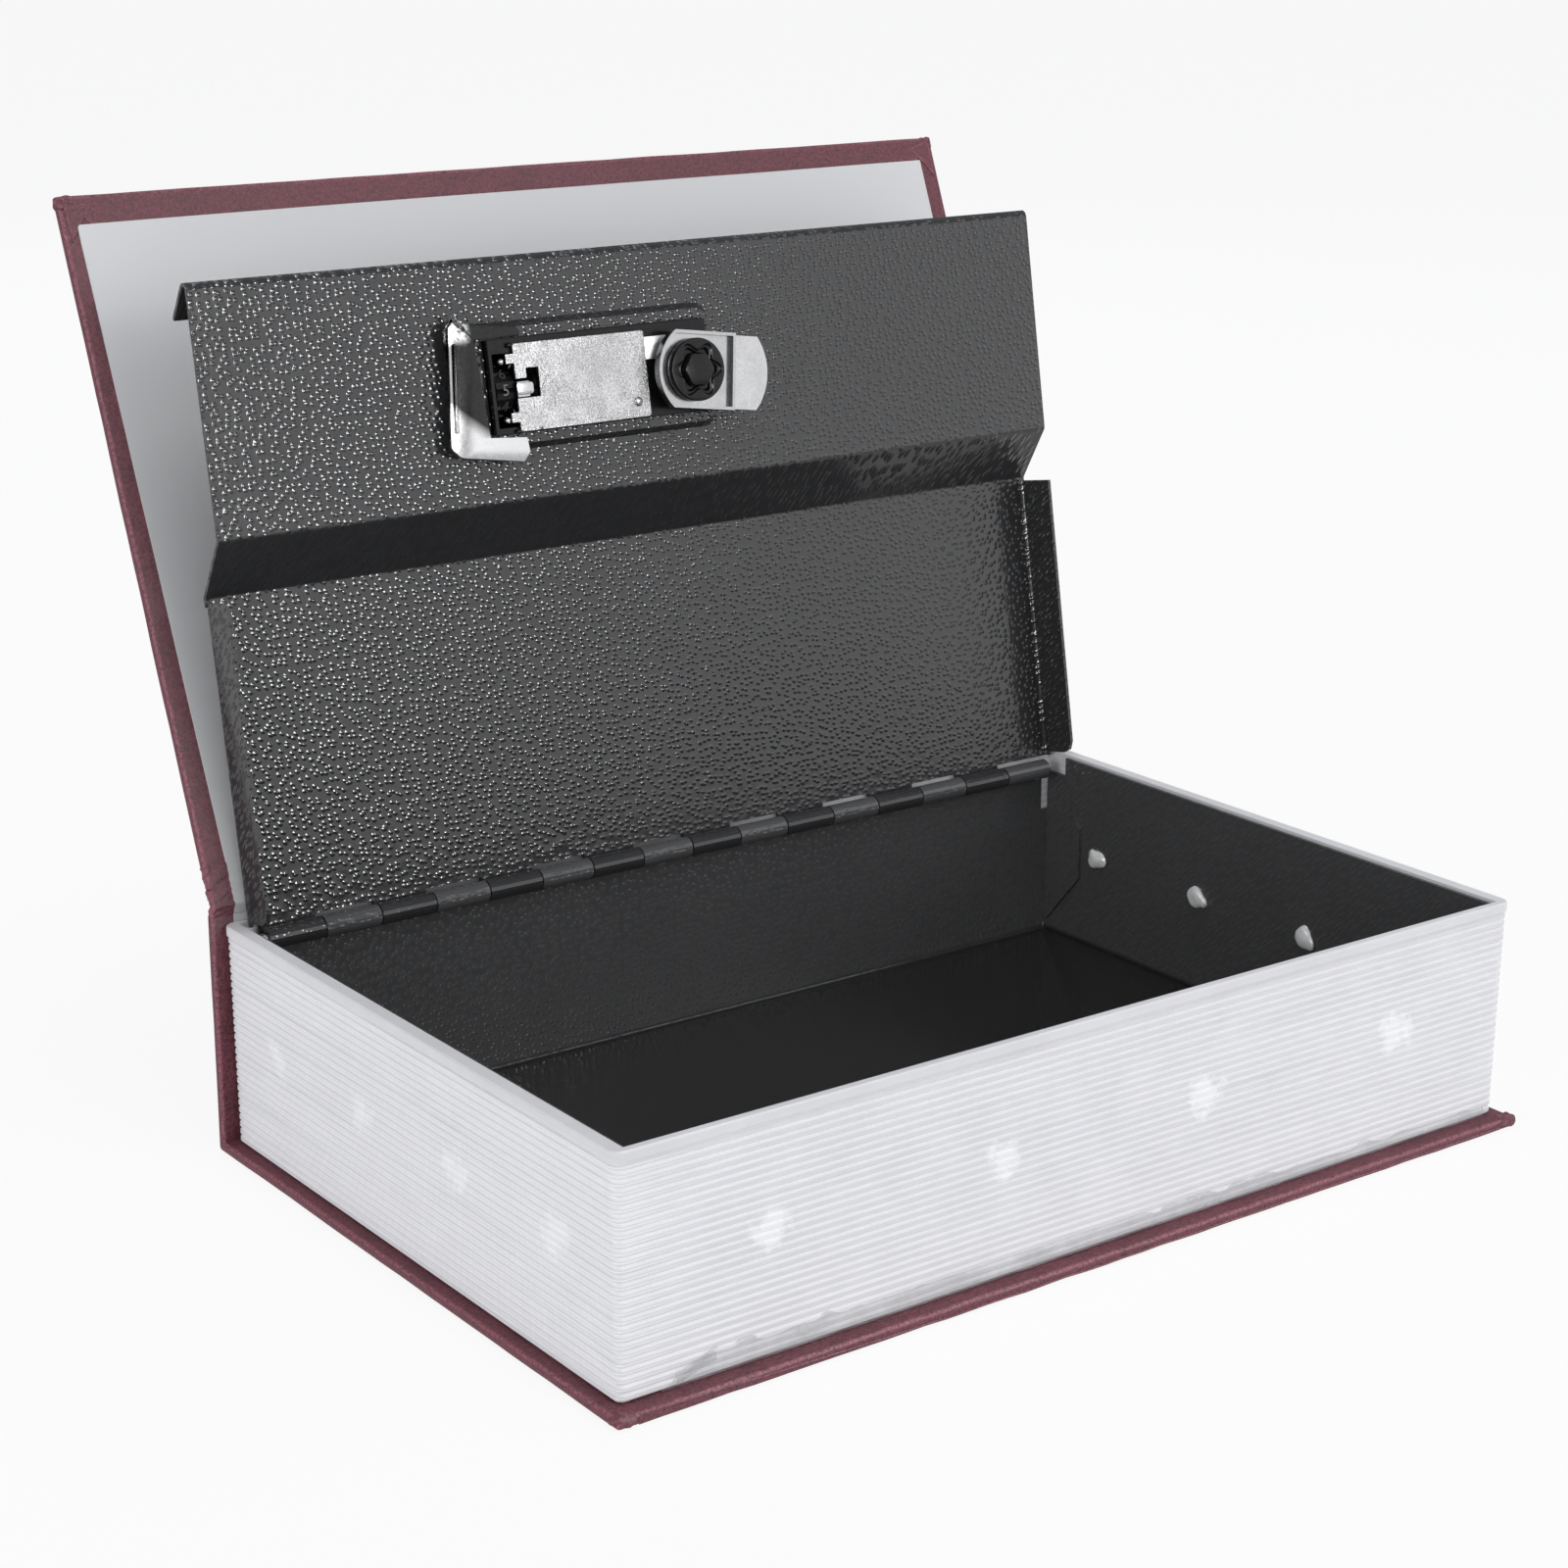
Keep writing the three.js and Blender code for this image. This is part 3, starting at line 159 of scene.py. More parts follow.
class Graph:
    """Adds and links the nodes of one material or one shader node group."""

    def __init__(self, tree):
        self.tree = tree

    def add(self, kind, inputs=None, **options):
        made = self.tree.nodes.new(kind)
        for name, value in options.items():
            setattr(made, name, value)
        for name, value in (inputs or {}).items():
            self.feed(made, name, value)
        return made

    def join(self, value, socket):
        """Links a socket's value into another socket, or sets it there as a constant."""
        if isinstance(value, bpy.types.NodeSocket):
            self.tree.links.new(value, socket)
        else:
            socket.default_value = value

    def feed(self, made, name, value):
        self.join(value, made.inputs[name])

    def give(self, made, **inputs):
        """Feeds inputs by their names, in which an underscore stands for a space."""
        for name, value in inputs.items():
            self.feed(made, name.replace("_", " "), value)

    def math(self, operation, *values):
        made = self.add("ShaderNodeMath", operation=operation)
        for number, value in enumerate(values):
            self.feed(made, number, value)
        return made.outputs[0]

    def vector(self, operation, *values):
        made = self.add("ShaderNodeVectorMath", operation=operation)
        for number, value in enumerate(values):
            self.feed(made, number, value)
        return made.outputs["Value" if operation in ("LENGTH", "DISTANCE") else "Vector"]

    def shaken(self, place, scale, reach, **options):
        """A place moved about by a noise, by up to half a reach in metres each way."""
        drift = self.vector("SUBTRACT", self.noise(place, scale, **options)["Color"], (0.5, 0.5, 0.5))
        return self.vector("ADD", place, self.vector("MULTIPLY", drift, (reach, reach, reach)))

    def remap(self, value, low, high, to_low=0.0, to_high=1.0, **options):
        made = self.add("ShaderNodeMapRange", {
            "Value": value, "From Min": low, "From Max": high,
            "To Min": to_low, "To Max": to_high}, **options)
        return made.outputs["Result"]

    def noise(self, place, scale, detail=2.0, roughness=0.5):
        made = self.add("ShaderNodeTexNoise", {
            "Vector": place, "Scale": scale, "Detail": detail, "Roughness": roughness})
        return made.outputs

    def tint(self, mask, low, high):
        """One colour where the mask is 0, another where it is 1."""
        made = self.add("ShaderNodeMix", data_type="RGBA")
        sockets = {socket.identifier: socket for socket in made.inputs}
        for label, value in (("Factor_Float", mask), ("A_Color", low), ("B_Color", high)):
            self.join(value, sockets[label])
        return next(socket for socket in made.outputs if socket.identifier == "Result_Color")

    def product(self, *values):
        """Several masks multiplied together."""
        whole = values[0]
        for value in values[1:]:
            whole = self.math("MULTIPLY", whole, value)
        return whole

    def mapped(self, place, **changes):
        return self.add("ShaderNodeMapping", {"Vector": place, **changes}).outputs["Vector"]

    def split(self, vector):
        """The X, Y and Z of a vector."""
        return self.add("ShaderNodeSeparateXYZ", {"Vector": vector}).outputs


def colour(values, factor=1.0):
    """A colour of four values, made darker or lighter by a factor."""
    return (values[0] * factor, values[1] * factor, values[2] * factor, 1.0)


def effect(name, inputs, outputs, draw):
    """A shader node group, built once."""
    if name in bpy.data.node_groups:
        return bpy.data.node_groups[name]
    tree = bpy.data.node_groups.new(name, "ShaderNodeTree")
    for label, kind, value in inputs:
        socket = tree.interface.new_socket(label, in_out="INPUT", socket_type=kind)
        if value is not None:
            socket.default_value = value
    for label, kind in outputs:
        tree.interface.new_socket(label, in_out="OUTPUT", socket_type=kind)
    graph = Graph(tree)
    given = graph.add("NodeGroupInput").outputs
    made = draw(graph, given)
    sink = graph.add("NodeGroupOutput")
    for label, value in made.items():
        graph.feed(sink, label, value)
    return tree


def weave():
    """Two sets of threads with slubs, and flecks of lighter and darker yarn."""
    def draw(graph, given):
        place = given["Vector"]
        parts = graph.split(graph.shaken(place, 900.0, 0.4 * MM, detail=3.0))
        turn = graph.math("DIVIDE", 2 * pi, given["Pitch"])
        warp = graph.math("SINE", graph.product(parts["X"], turn))
        weft = graph.math("SINE", graph.product(parts["Y"], turn))
        yarn = graph.product(warp, weft)
        fleck = graph.noise(place, 1500.0, 3.0, 0.75)["Fac"]
        cloud = graph.noise(place, 70.0, 3.0, 0.6)["Fac"]
        height = graph.math("ADD", graph.product(yarn, 0.3), graph.product(fleck, 1.1))
        tone = graph.math("ADD", graph.product(fleck, 0.85), graph.product(cloud, 0.15))
        return {"Height": height, "Tone": tone}
    return effect(
        "Weave",
        [("Vector", "NodeSocketVector", None), ("Pitch", "NodeSocketFloat", 0.0005)],
        [("Height", "NodeSocketFloat"), ("Tone", "NodeSocketFloat")], draw)


def hammertone():
    """Round drops of stove enamel that stand on a gently waved ground."""
    def draw(graph, given):
        place = given["Vector"]
        drop_edge = 0.45
        scale = graph.math("DIVIDE", 1.0, given["Cell"])
        parts = graph.split(graph.shaken(place, graph.product(scale, 0.8), 0.4 * MM, detail=1.0))
        # One slanting projection lays the drops out evenly on every sheet, whichever way it faces.
        flat = graph.add("ShaderNodeCombineXYZ", {
            "X": graph.math("ADD", parts["X"], graph.product(parts["Y"], 0.7)),
            "Y": graph.math("ADD", parts["Z"], graph.product(parts["Y"], 0.9))}).outputs["Vector"]
        cells = graph.add(
            "ShaderNodeTexVoronoi", {"Vector": flat, "Scale": scale, "Randomness": 0.8},
            voronoi_dimensions="2D").outputs["Distance"]
        drop = graph.remap(cells, drop_edge, 0.0, interpolation_type="SMOOTHSTEP")
        swell = graph.noise(place, graph.product(scale, 0.5), 1.0)["Fac"]
        height = graph.math("ADD", drop, graph.product(swell, 0.5))
        return {"Height": height, "Valley": graph.remap(cells, drop_edge, 0.7)}
    return effect(
        "Hammertone",
        [("Vector", "NodeSocketVector", None), ("Cell", "NodeSocketFloat", 0.0014)],
        [("Height", "NodeSocketFloat"), ("Valley", "NodeSocketFloat")], draw)


def grain():
    """Fine cloudy grain between two values."""
    def draw(graph, given):
        fine = graph.noise(given["Vector"], given["Scale"], 4.0, 0.6)["Fac"]
        return {"Value": graph.remap(fine, 0.3, 0.7, given["Low"], given["High"]), "Fac": fine}
    return effect(
        "Grain",
        [("Vector", "NodeSocketVector", None), ("Scale", "NodeSocketFloat", 400.0),
         ("Low", "NodeSocketFloat", 0.3), ("High", "NodeSocketFloat", 0.6)],
        [("Value", "NodeSocketFloat"), ("Fac", "NodeSocketFloat")], draw)


def start_material(name):
    """A material with its graph, its Principled shader and its place socket. If it is there already, the
    other three are None."""
    if name in bpy.data.materials:
        return bpy.data.materials[name], None, None, None
    material = bpy.data.materials.new(name)
    material.use_nodes = True
    material.node_tree.nodes.clear()
    graph = Graph(material.node_tree)
    shader = graph.add("ShaderNodeBsdfPrincipled")
    graph.add("ShaderNodeOutputMaterial", {"Surface": shader.outputs["BSDF"]})
    place = graph.add("ShaderNodeTexCoord").outputs["Object"]
    return material, graph, shader, place


def use(graph, tree, **inputs):
    """Adds a shader node group and feeds its inputs."""
    made = graph.add("ShaderNodeGroup", node_tree=tree)
    graph.give(made, **inputs)
    return made.outputs


def bump(graph, shader, height, strength, distance):
    """Gives the shader a relief of a certain height in metres."""
    made = graph.add("ShaderNodeBump", {"Height": height, "Strength": strength, "Distance": distance})
    graph.feed(shader, "Normal", made.outputs["Normal"])


# Materials

def book_cloth(settings, name="Book cloth", turned=0.0):
    """Burgundy linen; turned lays the threads in the plane of a board that stands at that angle."""
    material, graph, shader, place = start_material(name)
    if graph is None:
        return material
    flat = graph.mapped(place, Rotation=(turned, 0, 0))
    threads = use(graph, weave(), Vector=flat, Pitch=settings.thread_pitch)
    base = settings.cloth_colour
    yarn = graph.tint(graph.remap(threads["Tone"], 0.4, 0.62), colour(base, 0.5), colour(base, 1.6))
    edge = graph.add("ShaderNodeAttribute", attribute_name="edge").outputs["Fac"]
    rub = graph.noise(place, 1400.0, 3.0, 0.7)["Fac"]
    worn = graph.product(graph.remap(rub, 0.38, 0.6), edge)
    # Rub brings out the pale core of the yarn, so the weaker colours rise most.
    wear_and_painted_shade = (base[0] * 2.9, base[1] * 4.4, base[2] * 3.9, 1.0)
    graph.give(
        shader, Base_Color=graph.tint(graph.product(worn, 0.7), yarn, wear_and_painted_shade),
        Roughness=graph.remap(threads["Tone"], 0.3, 0.7, 0.5, 0.72),
        Specular_IOR_Level=0.4,
        Sheen_Weight=0.03)
    bump(graph, shader, threads["Height"], 0.6, 0.18 * MM)
    return material


def greyboard():
    """Pressed grey pulp board."""
    material, graph, shader, place = start_material("Greyboard")
    if graph is None:
        return material
    fibre = use(graph, grain(), Vector=place, Scale=900.0, Low=0.8, High=0.95)
    dark, pale = (0.22, 0.2, 0.17, 1), (0.4, 0.37, 0.32, 1)
    graph.give(
        shader, Base_Color=graph.tint(fibre["Fac"], dark, pale),
        Roughness=fibre["Value"])
    bump(graph, shader, fibre["Fac"], 0.3, 0.1 * MM)
    return material


def endpaper(settings):
    """Coated paper with a faint roller texture and slow waves from its glue."""
    material, graph, shader, place = start_material("Coated endpaper")
    if graph is None:
        return material
    coat = use(graph, grain(), Vector=place, Scale=14.0, Low=0.27, High=0.36)
    base = settings.paper_colour
    graph.give(
        shader, Base_Color=graph.tint(coat["Fac"], colour(base, 0.985), colour(base, 1.015)),
        Roughness=coat["Value"])
    fibre = graph.noise(place, 1800.0, 3.0)["Fac"]
    wave = graph.noise(place, 22.0, 0.0)["Fac"]
    relief = graph.math("ADD", graph.product(fibre, 0.04), wave)
    bump(graph, shader, relief, 0.2, 0.8 * MM)
    return material


def page_plastic(settings, spots):
    """White moulding. Glue behind it shows as paler patches, its grooves are painted lighter, its rib crests
    near the left end carry painted highlights, and a painted shade darkens its back rim behind the hinge.
    """
    material, graph, shader, place = start_material("Page moulding")
    if graph is None:
        return material
    torn = graph.shaken(place, 170.0, 13 * MM, detail=3.0, roughness=0.7)
    patch = 0.0
    for spot in spots:
        far = graph.vector("DISTANCE", torn, spot)
        patch = graph.math("MAXIMUM", patch, graph.remap(far, GLUE_PATCH, GLUE_PATCH * 0.5))
    parts = graph.split(place)
    turns = graph.math("DIVIDE", graph.math("SUBTRACT", parts["Z"], block_low.z), RIB_PITCH / (2 * pi))
    wave = graph.math("COSINE", turns)
    ribbed = graph.remap(parts["Z"], block_high.z - 2.3 * MM, block_high.z - 2.6 * MM)
    groove = graph.product(graph.remap(wave, -0.3, 0.9), ribbed)
    crest = graph.product(graph.remap(wave, -0.75, -1.0), ribbed)
    corner = graph.remap(parts["X"], block_low.x + 20 * MM, block_low.x + 4 * MM)
    cloud = graph.noise(place, 90.0, 4.0, 0.6)["Fac"]
    line = graph.mapped(place, Scale=(12, 12, 900))
    streak = graph.noise(line, 1.0, 3.0, 0.6)["Fac"]
    base = settings.page_colour
    plain = graph.tint(graph.remap(cloud, 0.3, 0.7), colour(base, 0.95), colour(base, 1.02))
    # Painted light: the grooves are made lighter, most on the left end, to cancel the shade between the
    # ribs.
    end = graph.remap(parts["X"], block_low.x + 1.6 * MM, block_low.x + 1.0 * MM, 0.6, 1.0)
    grooves_painted_light = graph.tint(graph.product(groove, end), plain, colour(base, 1.24))
    lined = graph.tint(graph.product(graph.remap(streak, 0.5, 0.75), 0.3), grooves_painted_light, colour(base, 0.76))
    # Painted highlights along the rib crests near the left corner.
    crests_painted_highlight = graph.tint(graph.product(crest, corner, 0.75), lined, (0.95, 0.95, 0.95, 1))
    glowing = graph.tint(graph.product(patch, 0.75), crests_painted_highlight, (0.93, 0.93, 0.93, 1))
    # Painted shade on the rim: a dark band along its top behind the hinge, where the gap above the knuckles
    # would show white, ragged at its right end.
    ragged = graph.product(graph.math("SUBTRACT", cloud, 0.5), 4 * MM)
    uneven = graph.math("ADD", parts["Y"], graph.product(ragged, 0.2))
    behind = graph.product(
        graph.remap(parts["Y"], block_high.y - 3.1 * MM, block_high.y - 2.9 * MM),
        graph.remap(uneven, block_high.y - 0.9 * MM, block_high.y - 1.3 * MM),
        graph.remap(parts["Z"], block_high.z - 6 * MM, block_high.z - 5.4 * MM))
    left = graph.product(
        graph.remap(graph.math("ADD", parts["X"], ragged), 40 * MM, -5 * MM),
        graph.remap(parts["X"], -110 * MM, -108.4 * MM))
    # Mask of the painted shade on the rim behind the hinge.
    wear_and_painted_shade = graph.product(behind, left, 0.9)
    graph.give(
        shader, Base_Color=graph.tint(wear_and_painted_shade, glowing, (0.05, 0.05, 0.052, 1)),
        Roughness=graph.remap(streak, 0.3, 0.7, 0.34, 0.52),
        Specular_IOR_Level=0.45)
    relief = graph.math("ADD", graph.product(streak, 0.7), graph.product(cloud, 0.3))
    bump(graph, shader, relief, 0.35, 0.2 * MM)
    return material


def enamel(name, base, cell, strength, floor_level=None):
    """Hammertone enamel, with painted shade in the valleys between its drops. Knuckles of the hinge and a
    rubbed floor stay smoother than the panels, and the floor is painted darker as the shade at the bottom of
    the box.
    """
    material, graph, shader, place = start_material(name)
    if graph is None:
        return material
    cells = use(graph, hammertone(), Vector=place, Cell=cell)
    arm = graph.vector("MULTIPLY", graph.vector("SUBTRACT", place, tuple(hinge_point)), (0, 1, 1))
    panel = graph.remap(graph.vector("LENGTH", arm), 2.6 * MM, 3.2 * MM, 0.32, 1.0)
    cloud = use(graph, grain(), Vector=place, Scale=60.0, Low=0.9, High=1.1)
    plain = graph.tint(cloud["Fac"], colour(base, 0.92), colour(base, 1.1))
    if floor_level is not None:
        up = graph.split(place)["Z"]
        above = graph.remap(up, floor_level + 0.1 * MM, floor_level + 1.2 * MM)
        panel = graph.product(panel, graph.remap(above, 0.0, 1.0, 0.12, 1.0))
        # Painted shade: the floor of the box is made darker, as the shade at its bottom.
        plain = graph.tint(above, colour(base, 0.26), plain)
    # Painted shade in the valleys between the drops.
    shade = graph.product(cells["Valley"], panel, 0.2)
    graph.give(
        shader, Base_Color=graph.tint(shade, plain, colour(base, 0.45)),
        Roughness=graph.remap(cloud["Fac"], 0.3, 0.7, 0.12, 0.18),
        Specular_IOR_Level=0.36)
    bump(graph, shader, graph.product(cells["Height"], panel), strength, 0.14 * MM)
    return material


def moulded_black():
    """Black plastic with a fine satin skin."""
    material, graph, shader, place = start_material("Black moulding")
    if graph is None:
        return material
    skin = use(graph, grain(), Vector=place, Scale=1100.0, Low=0.16, High=0.28)
    dark, pale = (0.003, 0.003, 0.0035, 1), (0.009, 0.009, 0.01, 1)
    graph.give(
        shader, Base_Color=graph.tint(skin["Fac"], dark, pale),
        Roughness=skin["Value"],
        Specular_IOR_Level=0.15)
    bump(graph, shader, skin["Fac"], 0.2, 0.05 * MM)
    return material


def steel(name, base, low, high, strength, stretch=(1, 1, 1), spread=0.11, relief=0.06 * MM):
    """Steel with a roughness from low to high. Stretch draws its grain out along an axis, and spread is
    how far its speckle goes lighter and darker."""
    material, graph, shader, place = start_material(name)
    if graph is None:
        return material
    drawn = graph.mapped(place, Scale=stretch)
    fine = use(graph, grain(), Vector=drawn, Scale=2600.0, Low=low, High=high)
    cloud = graph.noise(place, 240.0, 3.0, 0.6)["Fac"]
    mixed = graph.math("ADD", graph.product(fine["Fac"], 0.6), graph.product(cloud, 0.4))
    speckle = graph.remap(mixed, 0.38, 0.62)
    dark, pale = colour(base, 1 - spread), colour(base, 1 + spread)
    graph.give(
        shader, Base_Color=graph.tint(speckle, dark, pale),
        Roughness=fine["Value"],
        Metallic=1.0)
    bump(graph, shader, mixed, strength, relief)
    return material


def hot_glue():
    """Milky hot glue that lets a little light in."""
    material, graph, shader, place = start_material("Hot glue")
    if graph is None:
        return material
    milk = use(graph, grain(), Vector=place, Scale=500.0, Low=0.12, High=0.32)
    graph.give(
        shader, Base_Color=graph.tint(milk["Fac"], (0.7, 0.7, 0.69, 1), (0.9, 0.9, 0.89, 1)),
        Roughness=milk["Value"],
        Subsurface_Weight=0.2,
        Subsurface_Radius=mm(1, 1, 1))
    bump(graph, shader, milk["Fac"], 0.35, 0.3 * MM)
    return material


def glue_film():
    """A smooth, half-clear smear that greys the foot of the moulding and shines at its folds."""
    material, graph, shader, place = start_material("Glue film")
    if graph is None:
        return material
    smear = graph.noise(place, 70.0, 3.0, 0.6)["Fac"]
    graph.give(
        shader, Base_Color=graph.tint(smear, (0.5, 0.51, 0.52, 1), (0.66, 0.67, 0.68, 1)),
        Alpha=graph.remap(smear, 0.35, 0.65, 0.16, 0.38),
        Roughness=graph.remap(smear, 0.3, 0.7, 0.08, 0.2))
    fold = graph.noise(place, 190.0, 2.0, 0.5)["Fac"]
    bump(graph, shader, fold, 0.7, 1 * MM)
    return material


def clip_steel():
    """Spring steel: painted dark as shadow on its bar and one arm, up to a slanting line, torn bright at a
    corner, plain bright elsewhere.
    """
    material, graph, shader, place = start_material("Spring steel")
    if graph is None:
        return material
    laid = graph.add("ShaderNodeMapping", {
        "Vector": place, "Location": lock_place.translation, "Rotation": lock_place.to_euler()},
        vector_type="TEXTURE").outputs["Vector"]
    parts = graph.split(laid)
    satin = use(graph, grain(), Vector=laid, Scale=900.0, Low=0.2, High=0.3)
    rough = graph.noise(laid, 1100.0, 3.0, 0.7)["Fac"]
    ragged = graph.product(graph.math("SUBTRACT", rough, 0.5), 3 * MM)
    # Painted shadow: dark on the bar and one arm up to a slanting line; past it, and on the other arm, the
    # steel keeps its bright colour.
    slant = graph.math("SUBTRACT", parts["Y"], graph.product(parts["X"], 0.75))
    outside_painted_shadow = graph.math(
        "MAXIMUM", graph.remap(slant, 30 * MM, 33.5 * MM), graph.remap(parts["Y"], 8.5 * MM, 9.8 * MM))
    root = graph.product(
        graph.remap(graph.math("ADD", parts["Y"], ragged), -10.5 * MM, -11.8 * MM),
        graph.remap(graph.math("ADD", parts["X"], ragged), -31.8 * MM, -33 * MM))
    bright = graph.tint(satin["Fac"], (0.36, 0.36, 0.364, 1), (0.42, 0.42, 0.425, 1))
    dark = graph.tint(satin["Fac"], (0.014, 0.014, 0.0142, 1), (0.028, 0.028, 0.0285, 1))
    torn = graph.tint(graph.remap(rough, 0.42, 0.55), (0.1, 0.1, 0.1, 1), (0.42, 0.42, 0.42, 1))
    graph.give(
        shader, Base_Color=graph.tint(root, graph.tint(outside_painted_shadow, dark, bright), torn),
        Roughness=satin["Value"],
        Metallic=1.0)
    relief = graph.math("ADD", graph.product(rough, root), graph.product(satin["Fac"], 0.05))
    bump(graph, shader, relief, 0.5, 0.12 * MM)
    return material


def figure_paint():
    """Dull grey paint of the numbers."""
    material, graph, shader, place = start_material("Figure paint")
    if graph is None:
        return material
    coat = use(graph, grain(), Vector=place, Scale=3000.0, Low=0.4, High=0.6)
    dark, pale = (0.035, 0.035, 0.036, 1), (0.055, 0.055, 0.055, 1)
    graph.give(
        shader, Base_Color=graph.tint(coat["Fac"], dark, pale),
        Roughness=coat["Value"])
    return material


# Shapes

def box_mesh(low, high):
    """A bmesh cuboid between two corners."""
    bm = bmesh.new()
    low, high = Vector(low), Vector(high)
    size = high - low
    place = Matrix.Translation((low + high) / 2) @ Matrix.Diagonal((*size, 1))
    bmesh.ops.create_cube(bm, size=1, matrix=place)
    return bm


def flat_face(outline, level=0.0):
    """A bmesh of one flat face. Its outline and its level are in millimetres."""
    bm = bmesh.new()
    bm.faces.new([bm.verts.new(mm(x, y, level)) for x, y in outline])
    return bm


def raise_faces(bm, faces, move):
    """Draws faces out with walls behind them, and gives back the drawn faces."""
    raised = bmesh.ops.extrude_face_region(bm, geom=faces)["geom"]
    points = [item for item in raised if isinstance(item, bmesh.types.BMVert)]
    bmesh.ops.translate(bm, verts=points, vec=move)
    return [item for item in raised if isinstance(item, bmesh.types.BMFace)]


def points_of(faces):
    return list({vert for face in faces for vert in face.verts})


def span(edge, axis):
    """How far an edge reaches along an axis."""
    return abs(edge.verts[0].co[axis] - edge.verts[1].co[axis])


def bevel(bm, edges, radius, segments):
    bmesh.ops.bevel(
        bm, geom=edges, offset=radius, segments=segments, profile=0.5, affect="EDGES", material=-1)


def round_edges(bm, radius, segments=3, sharper_than=0.5):
    """Rounds every edge at which the mesh turns by more than an angle in radians."""
    sharp = [edge for edge in bm.edges if edge.calc_face_angle(0) > sharper_than]
    bevel(bm, sharp, radius, segments)


def extent(bm, axis):
    """The lowest and the highest value of the mesh along an axis."""
    values = [vert.co[axis] for vert in bm.verts]
    return min(values), max(values)


def slice_along(bm, axis, step, extra=()):
    """Cuts the mesh into slices of about one step along an axis."""
    low, high = extent(bm, axis)
    count = max(1, round((high - low) / step))
    normal = Vector((0, 0, 0))
    normal[axis] = 1
    places = [low + (high - low) * number / count for number in range(1, count)] + list(extra)
    for at in places:
        bmesh.ops.bisect_plane(
            bm, geom=bm.verts[:] + bm.edges[:] + bm.faces[:], dist=WELD, plane_co=normal * at,
            plane_no=normal)


def mark_edges(bm, reach):
    """Stores where a cuboid's rounded edges are, so that the cloth can show wear there."""
    layer = bm.verts.layers.float.new("edge")
    sides = [extent(bm, axis) for axis in range(3)]
    for vert in bm.verts:
        near = sum(min(at - low, high - at) < reach * 0.6 for at, (low, high) in zip(vert.co, sides))
        vert[layer] = 1.0 if near >= 2 else 0.0


def crumple(bm, amount, width, seed):
    """Moves every point by a smooth noise of one width. The noise has no state, so that each run gives
    the same points."""
    for vert in bm.verts:
        at = vert.co / width + Vector((seed, seed * 2.3, 0))
        vert.co += Vector([noise.noise(at + Vector((0, 0, 17.3 * axis))) for axis in range(3)]) * amount


def placed(name, data):
    """A new object of the scene that shows some data."""
    thing = bpy.data.objects.new(name, data)
    bpy.context.scene.collection.objects.link(thing)
    return thing


def finished(name, bm, place, materials, smooth=True):
    """Closes a bmesh into an object at the origin with its place in its mesh."""
    bmesh.ops.transform(bm, matrix=place, verts=bm.verts)
    bmesh.ops.remove_doubles(bm, verts=bm.verts, dist=WELD)
    bmesh.ops.recalc_face_normals(bm, faces=bm.faces)
    for edge in bm.edges:
        edge.smooth = edge.calc_face_angle(0) < SHARP_FROM
    mesh = bpy.data.meshes.new(name)
    bm.to_mesh(mesh)
    bm.free()
    for material in materials:
        mesh.materials.append(material)
    if smooth:
        mesh.shade_smooth()
    else:
        mesh.shade_flat()
    return placed(name, mesh)


def paint(node, material):
    """Gives a solid of the frame its finish."""
    solid = frame["nodes"][node]
    for slot in solid.material_slots:
        slot.material = material
    if not solid.material_slots:
        solid.data.materials.append(material)


def cloth_board(name, low, high, place, radius, material, seed):
    """A board wrapped in cloth: rounded edges, slightly uneven faces."""
    bm = box_mesh(low, high)
    round_edges(bm, radius)
    mark_edges(bm, radius)
    for axis in range(3):
        if high[axis] - low[axis] > 10 * MM:
            slice_along(bm, axis, 6 * MM)
    crumple(bm, 0.12 * MM, 14 * MM, seed)
    crumple(bm, 0.05 * MM, 4 * MM, seed + 7)
    return finished(name, bm, place, [material])


def flap(name, outline, thickness, border, place, material, seed):
    """A thin flap of turned-over cloth with a worn border. Its outline is drawn flat, in millimetres."""
    bm = flat_face(outline)
    raise_faces(bm, bm.faces[:], (0, 0, thickness))
    bmesh.ops.recalc_face_normals(bm, faces=bm.faces)
    rim = [edge for edge in bm.edges if all(vert.co.z > thickness / 2 for vert in edge.verts)]
    bevel(bm, rim, thickness * 0.8, 2)
    layer = bm.verts.layers.float.new("edge")
    for vert in bm.verts:
        vert[layer] = 0.8
    top = [face for face in bm.faces if face.normal.z > 0.95]
    bmesh.ops.inset_region(bm, faces=top, thickness=border, use_even_offset=True)
    for vert in points_of(top):
        vert[layer] = 0.0
    slice_along(bm, 0, 5 * MM)
    for vert in bm.verts:
        vert.co.y += noise.noise(vert.co / (9 * MM) + Vector((seed, 0, 0))) * 0.25 * MM
    return finished(name, bm, place, [material])


def fold_ends(bm, half_length, seed, layer):
    """Pulls the ends of a strip of cloth into slanting folds that wear on top, and its middle into
    slight waves."""
    for vert in bm.verts:
        near_end = half_length - abs(vert.co.x)
        hold = max(0.0, 1 - near_end / (7 * MM))
        slant = vert.co.y * 1.3 + vert.co.z * 0.9 + near_end * 0.5
        crest = noise.noise(Vector((slant / (0.95 * MM), near_end / (5 * MM), seed)))
        wave = noise.noise(Vector((vert.co.x / (9 * MM), vert.co.y / (4 * MM), seed)))
        vert.co.z += crest * hold * 0.8 * MM - wave * 0.08 * MM
        vert.co.y -= crest * hold * 0.25 * MM
        vert.co.x += (1 if vert.co.x > 0 else -1) * crest * hold * 0.4 * MM
        vert[layer] = max(vert[layer], min(0.7, crest * hold * 2.5))


